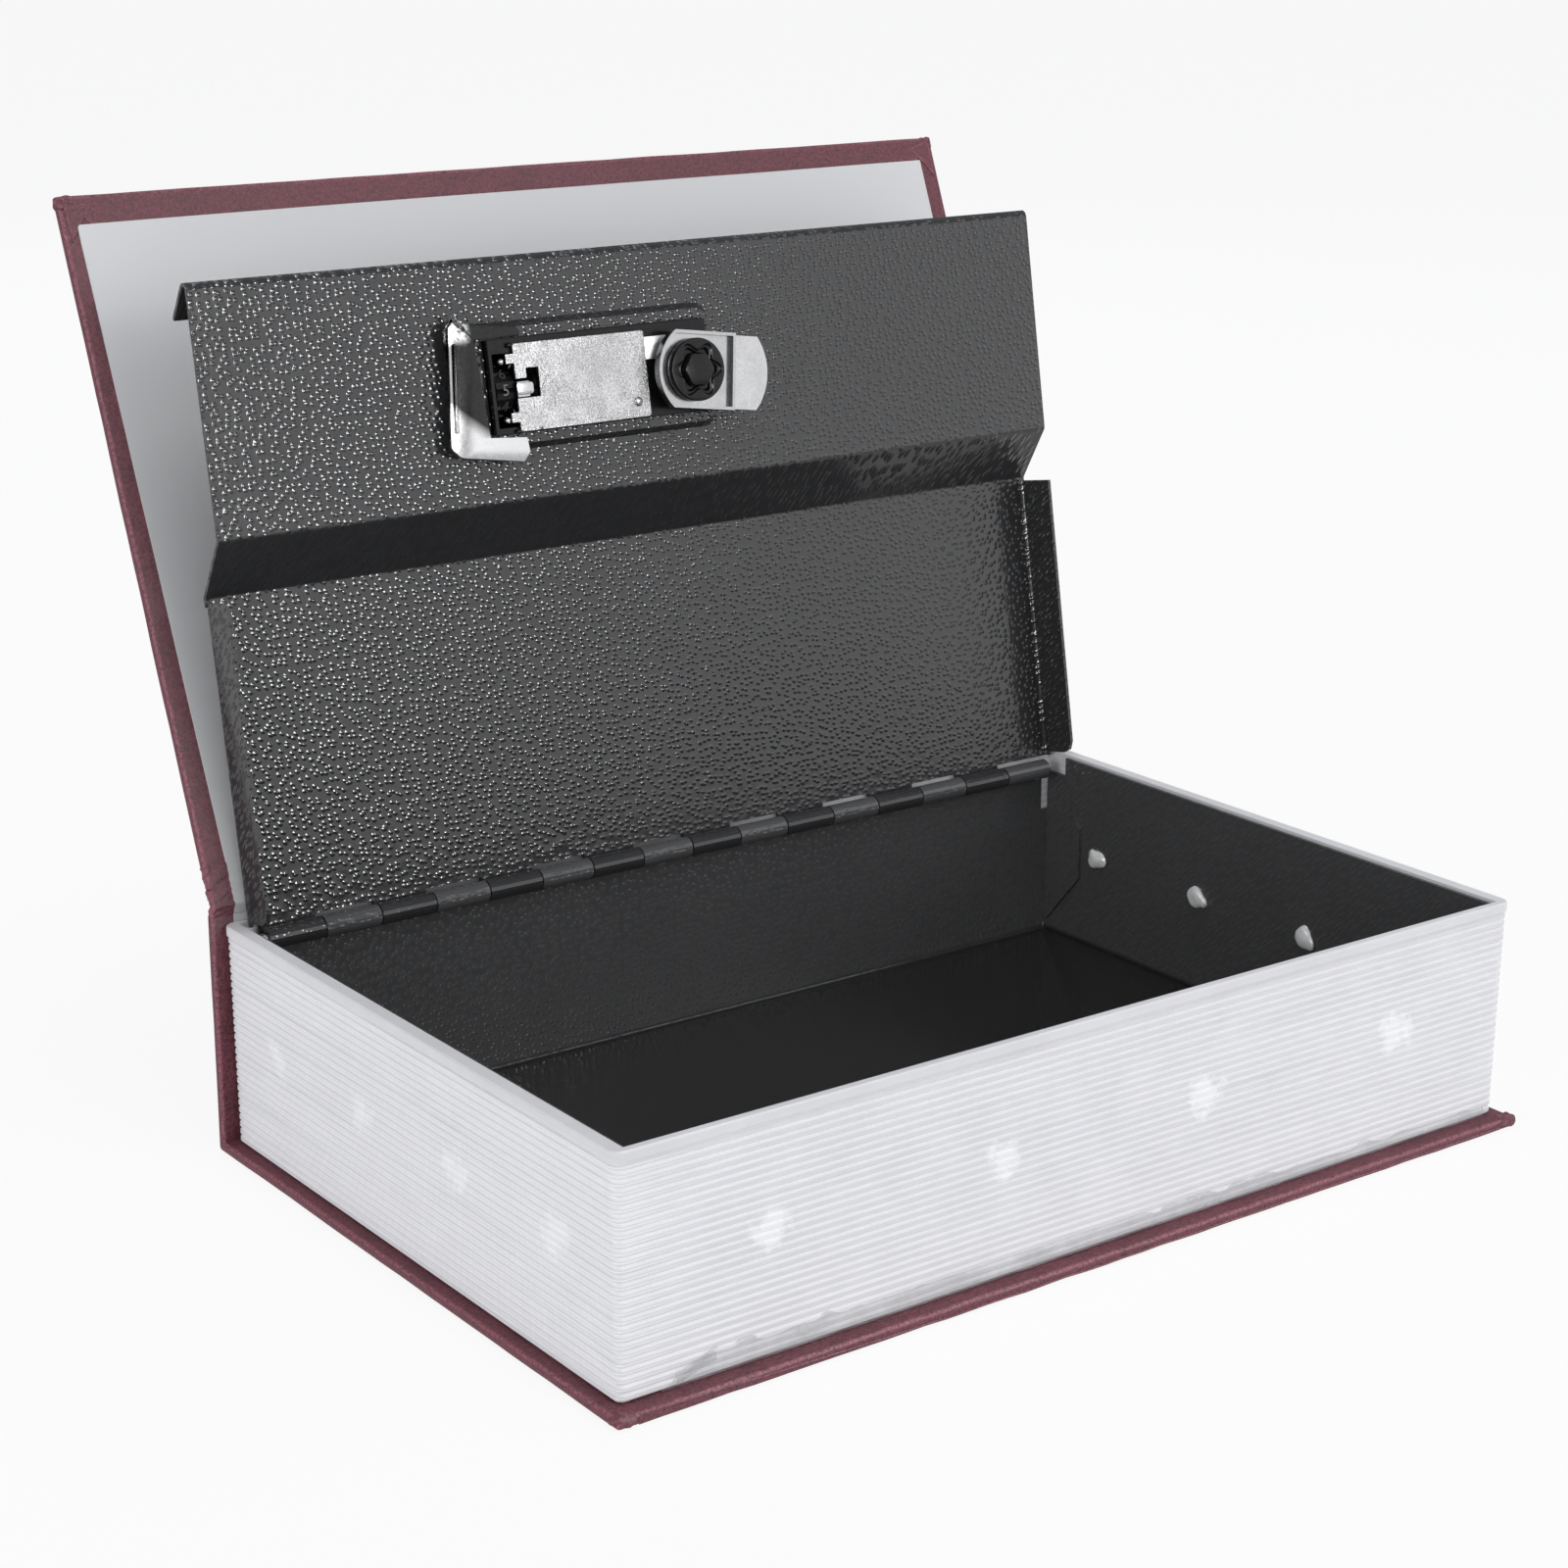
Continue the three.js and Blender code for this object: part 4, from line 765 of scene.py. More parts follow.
def crease_strip(name, section, half_length, materials):
    """A strip of the crease with one section along the book's length. The section is a list of (y, z) in
    millimetres, in the frame of the front cover, and its inside takes the second material, paper."""
    end_round = 0.5 * MM
    bm = bmesh.new()
    bm.faces.new([bm.verts.new((-half_length, y * MM, z * MM)) for y, z in section])
    raise_faces(bm, bm.faces[:], (2 * half_length, 0, 0))
    bmesh.ops.recalc_face_normals(bm, faces=bm.faces)
    bevel(bm, [edge for edge in bm.edges if span(edge, 0) < 1e-9], end_round, 2)
    fine = [half_length - step * MM for step in (1.0, 1.6, 2.2, 2.9, 3.7, 4.6)]
    slice_along(bm, 0, 4 * MM, [-at for at in fine] + fine + [-PAPER_HALF, PAPER_HALF])
    slice_along(bm, 1, 0.6 * MM)
    slice_along(bm, 2, 0.6 * MM)
    layer = bm.verts.layers.float.new("edge")
    for vert in bm.verts:
        near_end = half_length - abs(vert.co.x)
        vert[layer] = 1.0 if near_end < end_round * 0.7 else 0.0
    for face in bm.faces:
        if face.normal.z < -0.5 and abs(face.calc_center_median().x) < PAPER_HALF:
            face.material_index = 1
    fold_ends(bm, half_length, 3.0, layer)
    return finished(name, bm, cover_place, materials)


def corner_cap(name, corner, size, place, material, seed):
    """A lump of cloth folded over a board's corner. Size leads inwards from the corner; both are in
    millimetres."""
    sides = list(zip(mm(*corner), mm(*corner) + mm(*size)))
    bm = box_mesh([min(side) for side in sides], [max(side) for side in sides])
    round_edges(bm, 1.0 * MM)
    mark_edges(bm, 0.8 * MM)
    for axis in range(3):
        slice_along(bm, axis, 0.7 * MM)
    crumple(bm, 0.55 * MM, 1.7 * MM, seed)
    crumple(bm, 0.18 * MM, 0.8 * MM, seed + 3)
    layer = bm.verts.layers.float["edge"]
    for vert in bm.verts:
        rub = noise.noise(vert.co / (1.1 * MM) + Vector((seed, 0, 0)))
        vert[layer] = max(0.0, min(0.9, 2.2 * rub))
    return finished(name, bm, place, [material])


def cover_point(along, out):
    """A point of the open cover: along from its pivot line to its free edge, out from its middle."""
    return cover_place @ Vector((0, -along, out))


# Operators

class BOOKSAFE_OT_back_and_spine(bpy.types.Operator):
    """Wrap the back board and the spine in burgundy cloth"""
    bl_idname = "booksafe.back_and_spine"
    bl_label = "Back board and spine"

    def execute(self, context):
        settings = context.scene.book_safe
        cloth = book_cloth(settings)
        upright = book_cloth(settings, "Book cloth of the spine", pi / 2)
        half, fore, rear = case_high.x, case_low.y, case_high.y
        back = cloth_board(
            "back_cover_cloth", (-half, fore, 0), (half, rear - 0.3 * MM, BOARD_THICKNESS),
            IN_PLACE, settings.cloth_round, cloth, 1.0)
        spine = cloth_board(
            "spine_cloth", (-half, rear - BOARD_THICKNESS, 0.05 * MM), (half, rear, case_high.z),
            IN_PLACE, settings.cloth_round, upright, 4.0)
        end = half / MM
        on_fore_edge = Matrix.Translation((0, fore + 0.1 * MM, 0)) @ Matrix.Rotation(pi / 2, 4, "X")
        front_flap = flap(
            "fore_edge_fold",
            [(4.6 - end, 0.2), (end - 4.6, 0.2), (end - 4.9, 0.9), (-40, 0.6), (-72, 1.1), (-98, 1.9),
             (4.9 - end, 2.35)],
            0.22 * MM, 0.06 * MM, on_fore_edge, cloth, 2.0)
        caps = [
            corner_cap(
                f"back_corner_fold_{word}", (side * (end + 0.25), fore / MM - 0.25, 0.15),
                (-side * 4.6, 3.2, 2.4), IN_PLACE, cloth, 3.0 + side)
            for side, word in ((-1, "left"), (1, "right"))]
        for piece in (back, spine, front_flap, *caps):
            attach(piece, "case")
        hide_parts("case_cloth")
        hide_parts("case_cloth")
        for node in ("back_board", "spine_board", "front_board"):
            paint(node, greyboard())
        bm = box_mesh(
            (-PAPER_HALF, block_high.y + 0.04 * MM, block_high.z - 3 * MM),
            (PAPER_HALF, block_high.y + 0.26 * MM, case_high.z - 0.55 * MM))
        slice_along(bm, 0, 6 * MM)
        joint_paper = finished("joint_paper", bm, IN_PLACE, [endpaper(settings)], smooth=False)
        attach(joint_paper, "case")
        return {"FINISHED"}


class BOOKSAFE_OT_front_cover(bpy.types.Operator):
    """Wrap the front board in cloth, fold its corners and lay the endpaper"""
    bl_idname = "booksafe.front_cover"
    bl_label = "Front cover"

    def execute(self, context):
        settings = context.scene.book_safe
        cloth = book_cloth(settings, "Book cloth of the cover", cover_lean)
        wrap = cloth_board(
            "front_cover_cloth", (-case_high.x, -COVER_REACH, COVER_INSIDE),
            (case_high.x, -COVER_START, COVER_OUTSIDE), cover_place, settings.cloth_round, cloth, 9.0)
        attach(wrap, "front_cover")
        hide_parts("cover_cloth")
        half, reach = case_high.x / MM, COVER_REACH / MM
        inside = cover_place @ Matrix.Translation((0, 0, COVER_INSIDE)) @ Matrix.Rotation(pi, 4, "Y")
        edge, turn_in = 0.5, 11.0
        pieces = [flap(
            "fore_turn_in",
            [(edge - half, edge - reach), (half - edge, edge - reach),
             (half - turn_in, turn_in - reach), (turn_in - half, turn_in - reach)],
            0.2 * MM, 0.5 * MM, inside, cloth, 3.0)]
        # How far each point of a tuck lies in from the side, and up from the fore edge.
        tuck = ((0.9, 0.8), (7.3, 2.6), (5.9, 4.4), (3.3, 7.5), (1.4, 10.5))
        for side, word in ((1, "left"), (-1, "right")):
            outline = [(side * (half - inwards), up - reach) for inwards, up in tuck]
            pieces.append(flap(
                f"corner_tuck_{word}", outline[::side], 0.32 * MM, 0.3 * MM, inside, cloth, 5.0 + side))
        for side, word in ((-1, "left"), (1, "right")):
            pieces.append(corner_cap(
                f"cover_corner_fold_{word}", (side * (half + 0.2), -reach - 0.2, COVER_OUTSIDE / MM),
                (-side * 3.6, 3.4, -2.75), cover_place, cloth, 11.0 + side))
        for piece in pieces:
            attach(piece, "front_cover")
        paper = self.sheet(settings)
        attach(paper, "front_cover")
        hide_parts("front_endpaper")
        return {"FINISHED"}

    def sheet(self, settings):
        """The endpaper, cut a little out of square and glued over the turned-in cloth."""
        side, reach = PAPER_HALF / MM, COVER_REACH / MM
        fore = [(side, 5.9), (60, 6.1), (0, 6.2), (-60, 6.3), (-115, 6.6)]
        outline = [(-side, -9.4), (side, -9.4)] + [(x, margin - reach) for x, margin in fore]
        bm = flat_face(outline, COVER_INSIDE / MM - 0.32)
        raise_faces(bm, bm.faces[:], (0, 0, 0.4 * MM))
        slice_along(bm, 0, 6 * MM)
        slice_along(bm, 1, 6 * MM)
        crumple(bm, 0.05 * MM, 40 * MM, 5.0)
        return finished("endpaper_sheet", bm, cover_place, [endpaper(settings)], smooth=False)


class BOOKSAFE_OT_crease(bpy.types.Operator):
    """Build the creased cloth between the spine and the front board"""
    bl_idname = "booksafe.crease"
    bl_label = "Cloth crease"

    def execute(self, context):
        settings = context.scene.book_safe
        materials = [book_cloth(settings, "Book cloth of the cover", cover_lean), endpaper(settings)]
        half = case_high.x - 0.1 * MM
        to_cover = cover_place.inverted()
        top = case_high.z - 0.9 * MM
        spine_out = to_cover @ Vector((0, case_high.y - 0.15 * MM, top)) / MM
        spine_in = to_cover @ Vector((0, case_high.y - 2.3 * MM, top)) / MM
        low_section = [
            (spine_in.y, spine_in.z), (-0.4, -2.3), (-2.4, -2.1), (-4.4, -2.15),
            (-4.4, 0.15), (-2.6, 0.4), (-1.0, 0.15), (spine_out.y, spine_out.z)]
        high_section = [
            (-4.4, 0.15), (-4.4, -2.15), (-6.4, -2.4), (-9.4, -2.52), (-9.4, 0.4), (-6.2, 0.5)]
        low = crease_strip("crease_cloth_low", low_section, half, materials)
        high = crease_strip("crease_cloth_high", high_section, half, materials)
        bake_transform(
            low, "case", "crease",
            start=tuple(cover_point(-1.0 * MM, 0)), end=tuple(cover_point(3.6 * MM, 0)))
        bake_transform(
            high, "crease", "front_cover",
            start=tuple(cover_point(5.2 * MM, 0)), end=tuple(cover_point(9.2 * MM, 0)))
        for piece in (low, high):
            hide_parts("crease_cloth")
        return {"FINISHED"}


class BOOKSAFE_OT_page_block(bpy.types.Operator):
    """Finish the ribbed page block and smear glue along its foot"""
    bl_idname = "booksafe.page_block"
    bl_label = "Page block"

    def execute(self, context):
        settings = context.scene.book_safe
        spots = []
        for node in glue_plugs:
            low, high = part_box(node)
            middle = (low + high) / 2
            if "front" in node:
                middle.y = block_low.y
            else:
                middle.x = block_low.x if "left" in node else block_high.x
            spots.append(tuple(middle))
        paint("page_block", page_plastic(settings, spots))
        film = self.film()
        flake = self.flake()
        for piece in (film, flake):
            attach(piece, "case")
        return {"FINISHED"}

    def film(self):
        """The smear of glue along the foot of the front, ragged on top and thinning to the right."""
        front, foot, height = block_low.y, block_low.z, 6 * MM
        left, right = -106 * MM, 112 * MM
        bm = box_mesh(
            (left, front + 0.6 * MM, foot - 0.05 * MM), (right, front + 1.3 * MM, foot + height))
        slice_along(bm, 0, 1.5 * MM)
        slice_along(bm, 2, 0.75 * MM)
        for vert in bm.verts:
            up = (vert.co.z - foot) / height
            ragged = 0.5 + 0.5 * noise.noise(Vector((vert.co.x / (6 * MM), 2.0, 0)))
            start = min(1.0, (vert.co.x - left) / (9 * MM))
            reach = start * (0.5 + 0.6 * ragged) * (1 - 0.5 * (vert.co.x - left) / (right - left))
            vert.co.z = foot + up * reach * height
            swell = noise.noise(Vector((vert.co.x / (7 * MM), vert.co.z / (2.5 * MM), 0)))
            if vert.co.y < front + 1 * MM:
                draft = 0.5 * MM * (vert.co.z - foot) / (46.8 * MM)
                rim = 0.25 * MM if up > 0.99 else 0
                vert.co.y = front + (0.72 - 0.12 * swell) * MM - draft + rim
        return finished("glue_film", bm, IN_PLACE, [glue_film()])

    def flake(self):
        """A loose, slanting flake of glue at the left end of the film."""
        front, foot = block_low.y, block_low.z
        bm = box_mesh(
            (-103 * MM, front + 0.42 * MM, foot + 1.8 * MM),
            (-94 * MM, front + 0.5 * MM, foot + 4.4 * MM))
        slice_along(bm, 0, 0.7 * MM)
        slice_along(bm, 2, 0.6 * MM)
        crumple(bm, 0.42 * MM, 1.5 * MM, 4.0)
        for vert in bm.verts:
            vert.co.z += (vert.co.x + 98 * MM) * 0.28
        return finished("glue_flake", bm, IN_PLACE, [glue_film()])


class BOOKSAFE_OT_steel_box(bpy.types.Operator):
    """Finish the steel box and press glue through its holes"""
    bl_idname = "booksafe.steel_box"
    bl_label = "Steel box"

    def execute(self, context):
        settings = context.scene.book_safe
        low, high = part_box("steel_box")
        paint("steel_box", enamel(
            "Hammertone of the box", settings.box_colour, settings.hammer_cell, 0.9,
            floor_level=low.z + 0.8 * MM))
        paint("hinge_pin", steel("Pin steel", (0.3, 0.3, 0.31), 0.3, 0.5, 0.3, stretch=(1, 8, 8)))
        paint("strike_bracket", steel("Bracket steel", (0.42, 0.42, 0.43), 0.35, 0.5, 0.3))
        glue = hot_glue()
        for number, node in enumerate(glue_plugs):
            low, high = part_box(node)
            across = 1 if "left" in node else -1
            inward = Vector((0, 1, 0)) if "front" in node else Vector((across, 0, 0))
            bm = bmesh.new()
            bmesh.ops.create_icosphere(bm, subdivisions=3, radius=2.5 * MM)
            tail = Vector((cos(2.5 + 0.35 * number), sin(2.5 + 0.35 * number), 0))
            for vert in bm.verts:
                rough = noise.noise(vert.co / (1.9 * MM) + Vector((number * 3.1, 0, 0)))
                point = max(0.0, vert.co.normalized().dot(tail)) ** 6
                vert.co *= 1 + 0.3 * rough + 0.55 * point
                vert.co.z *= 0.42
            turn = inward.to_track_quat("Z", "Y").to_matrix().to_4x4()
            place = Matrix.Translation((low + high) / 2 + inward * 0.25 * MM) @ turn
            blob = finished(node.replace("plug", "lump"), bm, place, [glue])
            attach(blob, "case")
            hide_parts(node)
        return {"FINISHED"}


class BOOKSAFE_OT_lid(bpy.types.Operator):
    """Finish the stepped steel lid"""
    bl_idname = "booksafe.lid"
    bl_label = "Lid"

    def execute(self, context):
        settings = context.scene.book_safe
        paint("lid_panel", enamel(
            "Hammertone of the lid", settings.lid_colour, settings.hammer_cell, 1.0))
        return {"FINISHED"}


class BOOKSAFE_OT_lock(bpy.types.Operator):
    """Finish the lock, press the arrow into its plate and paint its dials"""
    bl_idname = "booksafe.lock"
    bl_label = "Lock"

    def arrow(self, material):
        """The outline of an arrow that goes across and then up, as a fine scribed line."""
        bm = flat_face([
            (3.45, 4.55), (8.9, 4.45), (8.9, 8.1), (10.2, 8.0), (7.55, 11.6), (5.5, 8.2), (6.2, 8.2),
            (6.15, 6.3), (3.5, 6.2)])
        face = bm.faces[:]
        line = bmesh.ops.inset_region(
            bm, faces=face, thickness=0.3 * MM, use_even_offset=True, use_boundary=True)["faces"]
        bmesh.ops.delete(bm, geom=face, context="FACES_ONLY")
        raise_faces(bm, line, (0, 0, 0.09 * MM))
        place = lock_outward @ shifted(-22.3, -9.0, 5.62)
        piece = finished("plate_arrow", bm, place, [material], smooth=False)
        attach(piece, "lid")

    def small_parts(self, black, steel_step, bright):
        """Pegs and pins that hold the plate, the rough step beside it and the lever's own tab."""

        def keep(name, bm, material, body):
            piece = finished(name, bm, lock_outward, [material])
            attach(piece, body)

        for number, (x, y) in enumerate(((-23.3, 9.6), (-23.1, -9.0)), 1):
            bm = bmesh.new()
            bmesh.ops.create_uvsphere(bm, u_segments=16, v_segments=10, radius=0.6 * MM)
            bmesh.ops.translate(bm, verts=bm.verts, vec=mm(x, y, 5.35))
            keep(f"plate_peg_{number}", bm, black, "lid")
        for number, (x, y) in enumerate(((-25.7, 6.3), (-25.5, -6.3)), 1):
            bm = bmesh.new()
            bmesh.ops.create_cone(
                bm, cap_ends=True, segments=20, radius1=0.75 * MM, radius2=0.62 * MM, depth=0.5 * MM)
            bmesh.ops.translate(bm, verts=bm.verts, vec=mm(x, y, 4.95))
            top = [face for face in bm.faces if face.normal.z > 0.9]
            bmesh.ops.inset_region(bm, faces=top, thickness=0.25 * MM)
            bmesh.ops.translate(bm, verts=points_of(top), vec=mm(0, 0, -0.2))
            keep(f"plate_pin_{number}", bm, bright, "lid")
        bm = box_mesh(mm(11.5, 3.3, 4.6), mm(17.4, 8.3, 5.05))
        round_edges(bm, 0.15 * MM, 2)
        keep("plate_step", bm, steel_step, "lid")
        bm = box_mesh(mm(-22.6, -1.2, 5.3), mm(-18.5, 1.45, 5.72))
        right = [edge for edge in bm.edges if span(edge, 2) > 0.1 * MM and edge.verts[0].co.x > -20 * MM]
        bevel(bm, right, 0.7 * MM, 4)
        round_edges(bm, 0.1 * MM, 2, 1.0)
        keep("lever_tab", bm, bright, "code_lever")

    def clip(self, material):
        """The spring clip: a flat fork, a little askew, with a lip along its bar."""
        bm = flat_face([
            (-36.4, 15.5), (-20.8, 13.6), (-19.7, 12.5), (-19.9, 11.4), (-31.2, 11.4), (-29.7, -9.6),
            (-20.6, -10.3), (-20.2, -13.6), (-22.0, -15.6), (-37.4, -13.2), (-39.6, -11.2),
            (-37.2, 14.6)], 3.35)
        raise_faces(bm, bm.faces[:], mm(0, 0, 0.95))
        corners = [edge for edge in bm.edges
                   if span(edge, 2) > 0.5 * MM and edge.verts[0].co.x < -31.5 * MM]
        bevel(bm, corners, 0.7 * MM, 4)
        round_edges(bm, 0.12 * MM, 2, 1.0)
        lip = bmesh.ops.create_cube(bm, size=1, matrix=(
            shifted(-37.3, 1.6, 4.5) @ Matrix.Rotation(radians(-5.2), 4, "Z")
            @ Matrix.Diagonal((*mm(0.7, 19, 1.6), 1))))
        bevel(bm, list({edge for vert in lip["verts"] for edge in vert.link_edges}), 0.25 * MM, 2)
        piece = finished("spring_clip", bm, lock_outward, [material])
        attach(piece, "lid")
        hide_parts("retaining_clip")

    def nut(self, material):
        """The latch nut: a disc with a six-lobed recess round a six-lobed hub."""
        bm = bmesh.new()
        bmesh.ops.create_circle(bm, cap_ends=True, segments=96, radius=7.0 * MM)
        top = raise_faces(bm, bm.faces[:], mm(0, 0, 1.9))
        # Middle radius and swing of the lobes of each ring, and how far it rises.
        for middle, swing, rise in (
                (5.4, 1.0, 0.0), (5.1, 1.0, -0.5), (4.6, 0.8, 0.0), (4.3, 0.75, -0.8),
                (3.8, 0.2, 0.0), (3.6, 0.2, 1.95)):
            bmesh.ops.inset_region(bm, faces=top, thickness=0.1 * MM)
            for vert in points_of(top):
                flat = Vector((vert.co.x, vert.co.y))
                lobe = cos(6 * flat.angle_signed(Vector((1, 0)), 0.0) + 0.4)
                vert.co.x, vert.co.y = flat.normalized() * (middle * MM + swing * MM * lobe)
            bmesh.ops.translate(bm, verts=points_of(top), vec=mm(0, 0, rise))
        round_edges(bm, 0.1 * MM, 2, 0.9)
        piece = finished("latch_nut", bm, lock_outward @ shifted(21.8, 0, 8.3), [material])
        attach(piece, "latch")
        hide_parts("star_nut")

    def figures(self, height, number, material):
        """The ten numbers round one dial, joined into one piece."""
        low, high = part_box(f"dial_{number}")
        centre = lock_place.inverted() @ ((low + high) / 2)
        axle = lock_place @ Matrix.Translation((centre.x, 0, 1.4 * MM))
        ring = bmesh.new()
        for figure in range(10):
            words = bpy.data.curves.new("figure", "FONT")
            words.body = str(figure)
            words.size = height * 1.35
            words.align_x = "CENTER"
            words.align_y = "CENTER"
            words.extrude = 0.09 * MM
            words.resolution_u = 2
            sign = placed("figure", words)
            bpy.context.view_layer.update()
            one = bmesh.new()
            one.from_mesh(sign.to_mesh())
            sign.to_mesh_clear()
            bpy.data.objects.remove(sign)
            turn = Matrix.Rotation(-2 * pi * figure / 10, 4, "X")
            bmesh.ops.transform(one, matrix=axle @ turn @ shifted(0, 0, 5.93), verts=one.verts)
            scrap = bpy.data.meshes.new("scrap")
            one.to_mesh(scrap)
            one.free()
            ring.from_mesh(scrap)
            bpy.data.meshes.remove(scrap)
        piece = finished(f"dial_figures_{number}", ring, IN_PLACE, [material], smooth=False)
        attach(piece, "dial_" + "abc"[number - 1])

    def execute(self, context):
        settings = context.scene.book_safe
        black = moulded_black()
        for node in ("lock_body", "dial_1", "dial_2", "dial_3"):
            paint(node, black)
        plate = steel(
            "Blasted plate", (0.21, 0.21, 0.212), 0.22, 0.32, 1.0, spread=0.24, relief=0.14 * MM)
        bright = steel("Plated steel", (0.29, 0.29, 0.293), 0.16, 0.26, 0.2)
        dull = steel("Scribed line", (0.06, 0.06, 0.061), 0.4, 0.55, 0.2)
        cast = steel("Cast step", (0.5, 0.5, 0.505), 0.35, 0.6, 1.0)
        satin = steel("Satin cup", (0.25, 0.25, 0.253), 0.16, 0.26, 0.3)
        paint("lock_back_plate", plate)
        self.clip(clip_steel())
        self.nut(black)
        for node in ("latch_tongue", "knob"):
            paint(node, bright)
        for node in ("cam_cup", "lock_spindle", "dial_shaft", "lever_spring",
                     "code_sleeve_1", "code_sleeve_2", "code_sleeve_3"):
            paint(node, satin)
        self.arrow(dull)
        self.small_parts(black, cast, bright)
        for number in (1, 2, 3):
            self.figures(settings.figure_height, number, figure_paint())
        return {"FINISHED"}


# Name, place, share of the main lamp's power, width, height, and whether it shows in reflections alone
LAMPS = (
    ("main_lamp", (0.85, -0.9, 0.44), 1.0, 1.9, 0.85, False),
    ("near_lamp", (-0.02, -0.5, 0.3), 0.6, 0.2, 0.2, True),
    ("left_lamp", (-1.2, -0.14, 0.25), 1.0, 0.3, 0.3, True),
    ("side_lamp", (-1.2, -0.3, 0.35), 0.54, 0.6, 0.6, False),
    ("top_lamp", (0.0, -0.35, 1.6), 0.75, 1.0, 1.0, False),
    ("back_lamp", (0.5, 1.3, 0.9), 0.37, 1.0, 1.0, False),
)
LAMP_AIM = Vector((0, 0, 0.08))
# The camera looks at a point from a distance; its turn, tilt and roll are in degrees.
CAMERA_AIM = mm(137.42, 219.6, 2.7)
CAMERA_DISTANCE = 935.06 * MM
CAMERA_TURN, CAMERA_TILT, CAMERA_ROLL = -36.38, 16.77, 0.13
CAMERA_LENS = 72.47


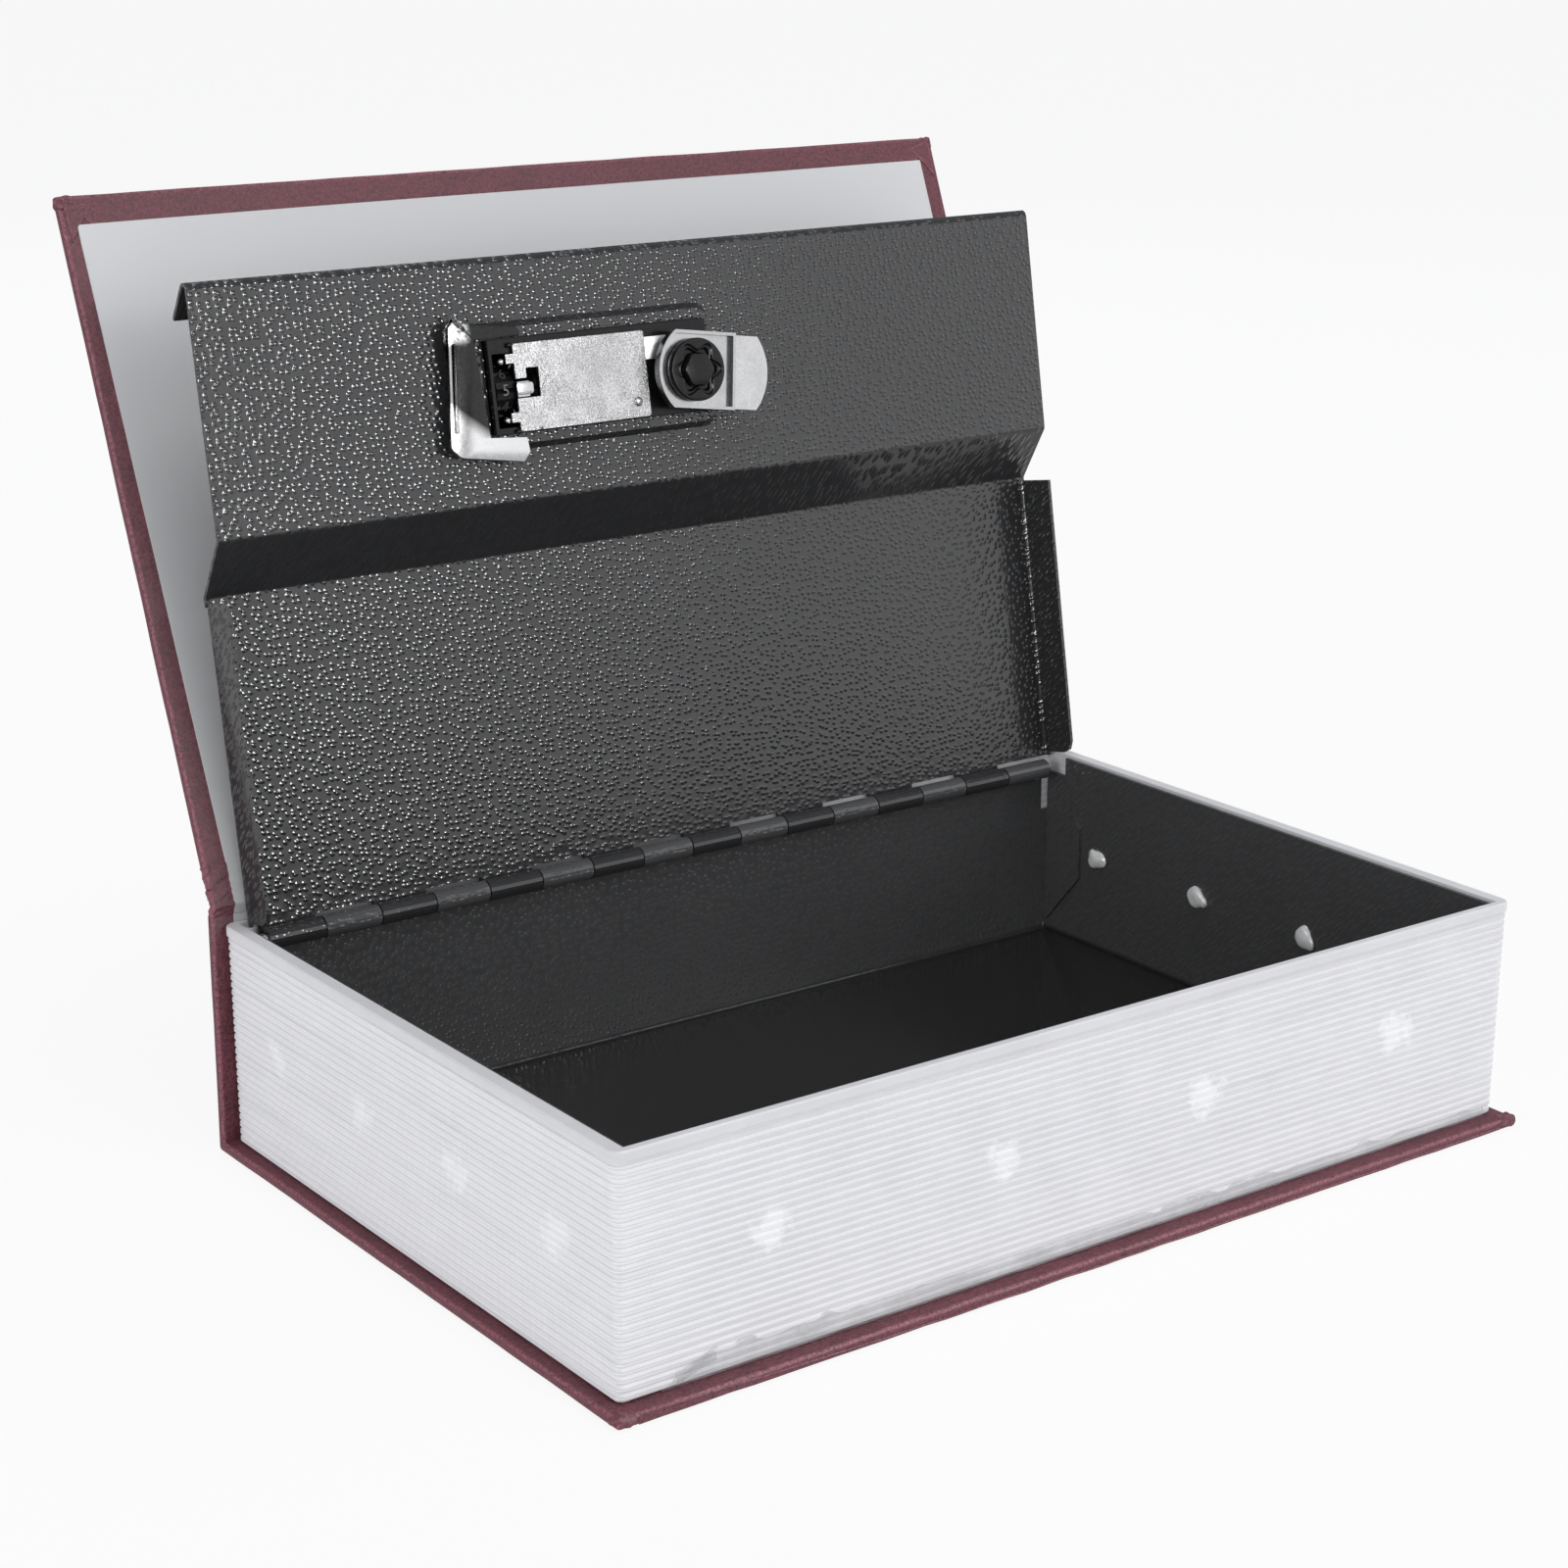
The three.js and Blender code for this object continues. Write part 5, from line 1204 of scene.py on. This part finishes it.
class BOOKSAFE_OT_stage(bpy.types.Operator):
    """Lay the floor, hang the lamps and set up the camera"""
    bl_idname = "booksafe.stage"
    bl_label = "Stage"

    def lamp(self, name, place, power, width, height, gloss_only):
        light = bpy.data.lights.new(name, "AREA")
        light.shape = "RECTANGLE"
        light.energy = power
        light.size = width
        light.size_y = height
        lamp = placed(name, light)
        lamp.location = place
        lamp.rotation_euler = (LAMP_AIM - Vector(place)).to_track_quat("-Z", "Y").to_euler()
        lamp.visible_camera = False
        lamp.visible_diffuse = not gloss_only

    def floor(self):
        """A matt floor that looks nearly white to the camera, so that it keeps only soft shadows."""
        bm = bmesh.new()
        bmesh.ops.create_grid(bm, x_segments=1, y_segments=1, size=6)
        mesh = bpy.data.meshes.new("floor")
        bm.to_mesh(mesh)
        bm.free()
        floor = placed("floor", mesh)
        floor.location.z = -0.2 * MM
        material = bpy.data.materials.new("Floor")
        material.use_nodes = True
        material.node_tree.nodes.clear()
        graph = Graph(material.node_tree)
        matt = graph.add(
            "ShaderNodeBsdfPrincipled", {"Base Color": (0.8, 0.8, 0.8, 1), "Roughness": 0.9})
        glow = graph.add("ShaderNodeEmission", {"Color": (1, 1, 1, 1), "Strength": 1.0})
        rays = graph.add("ShaderNodeLightPath").outputs
        seen = graph.math("MAXIMUM", rays["Is Camera Ray"], rays["Is Glossy Ray"])
        seen = graph.math("MAXIMUM", seen, rays["Is Transmission Ray"])
        mixed = graph.add("ShaderNodeMixShader", {
            0: graph.product(seen, 0.9), 1: matt.outputs["BSDF"], 2: glow.outputs["Emission"]})
        graph.add("ShaderNodeOutputMaterial", {"Surface": mixed.outputs["Shader"]})
        mesh.materials.append(material)

    def world(self):
        """White for the camera, and a soft, slightly blue light on everything else."""
        world = bpy.data.worlds.new("Studio")
        world.use_nodes = True
        world.node_tree.nodes.clear()
        graph = Graph(world.node_tree)
        rays = graph.add("ShaderNodeLightPath").outputs
        seen = graph.math("MAXIMUM", rays["Is Camera Ray"], rays["Is Transmission Ray"])
        soft = graph.add("ShaderNodeBackground", {"Color": (0.9, 0.93, 1.0, 1), "Strength": 0.42})
        plain = graph.add("ShaderNodeBackground", {"Color": (1, 1, 1, 1), "Strength": 1.0})
        mixed = graph.add("ShaderNodeMixShader", {
            0: seen, 1: soft.outputs["Background"], 2: plain.outputs["Background"]})
        graph.add("ShaderNodeOutputWorld", {"Surface": mixed.outputs["Shader"]})
        bpy.context.scene.world = world

    def camera(self):
        view = bpy.data.cameras.new("camera")
        view.sensor_fit = "HORIZONTAL"
        view.sensor_width = 36
        view.lens = CAMERA_LENS
        view.clip_start = 0.01
        view.clip_end = 50
        camera = placed("camera", view)
        turn, tilt, roll = radians(CAMERA_TURN), radians(CAMERA_TILT), radians(CAMERA_ROLL)
        back = Vector((sin(turn) * cos(tilt), -cos(turn) * cos(tilt), sin(tilt)))
        right = Vector((cos(turn), sin(turn), 0))
        up = back.cross(right)
        rolled_right = right * cos(roll) + up * sin(roll)
        rolled_up = up * cos(roll) - right * sin(roll)
        place = Matrix((rolled_right, rolled_up, back)).transposed().to_4x4()
        place.translation = CAMERA_AIM + back * CAMERA_DISTANCE
        camera.matrix_world = place
        bpy.context.scene.camera = camera

    def execute(self, context):
        self.floor()
        self.world()
        self.camera()
        for name, place, share, width, height, gloss_only in LAMPS:
            self.lamp(name, place, context.scene.book_safe.lamp_power * share, width, height, gloss_only)
        context.scene.view_settings.view_transform = "Standard"
        return {"FINISHED"}


class BOOKSAFE_PT_panel(bpy.types.Panel):
    """Sizes, colours and building steps of the book safe"""
    bl_idname = "BOOKSAFE_PT_panel"
    bl_label = "Book Safe"
    bl_space_type = "VIEW_3D"
    bl_region_type = "UI"
    bl_category = "Book Safe"

    def draw(self, context):
        column = self.layout.column()
        for name in BookSafeSettings.__annotations__:
            column.prop(context.scene.book_safe, name)
        for operator in OPERATORS:
            column.operator(operator.bl_idname)


OPERATORS = (
    BOOKSAFE_OT_back_and_spine,
    BOOKSAFE_OT_front_cover,
    BOOKSAFE_OT_crease,
    BOOKSAFE_OT_page_block,
    BOOKSAFE_OT_steel_box,
    BOOKSAFE_OT_lid,
    BOOKSAFE_OT_lock,
    BOOKSAFE_OT_stage,
)


def register():
    bpy.utils.register_class(BookSafeSettings)
    for operator in OPERATORS:
        bpy.utils.register_class(operator)
    bpy.utils.register_class(BOOKSAFE_PT_panel)
    bpy.types.Scene.book_safe = bpy.props.PointerProperty(type=BookSafeSettings)


def unregister():
    del bpy.types.Scene.book_safe
    bpy.utils.unregister_class(BOOKSAFE_PT_panel)
    for operator in reversed(OPERATORS):
        bpy.utils.unregister_class(operator)
    bpy.utils.unregister_class(BookSafeSettings)


def main():
    register()
    bpy.ops.booksafe.back_and_spine()
    bpy.ops.booksafe.front_cover()
    bpy.ops.booksafe.crease()
    bpy.ops.booksafe.page_block()
    bpy.ops.booksafe.steel_box()
    bpy.ops.booksafe.lid()
    bpy.ops.booksafe.lock()
    bpy.ops.booksafe.stage()


if __name__ == "__main__":
    main()
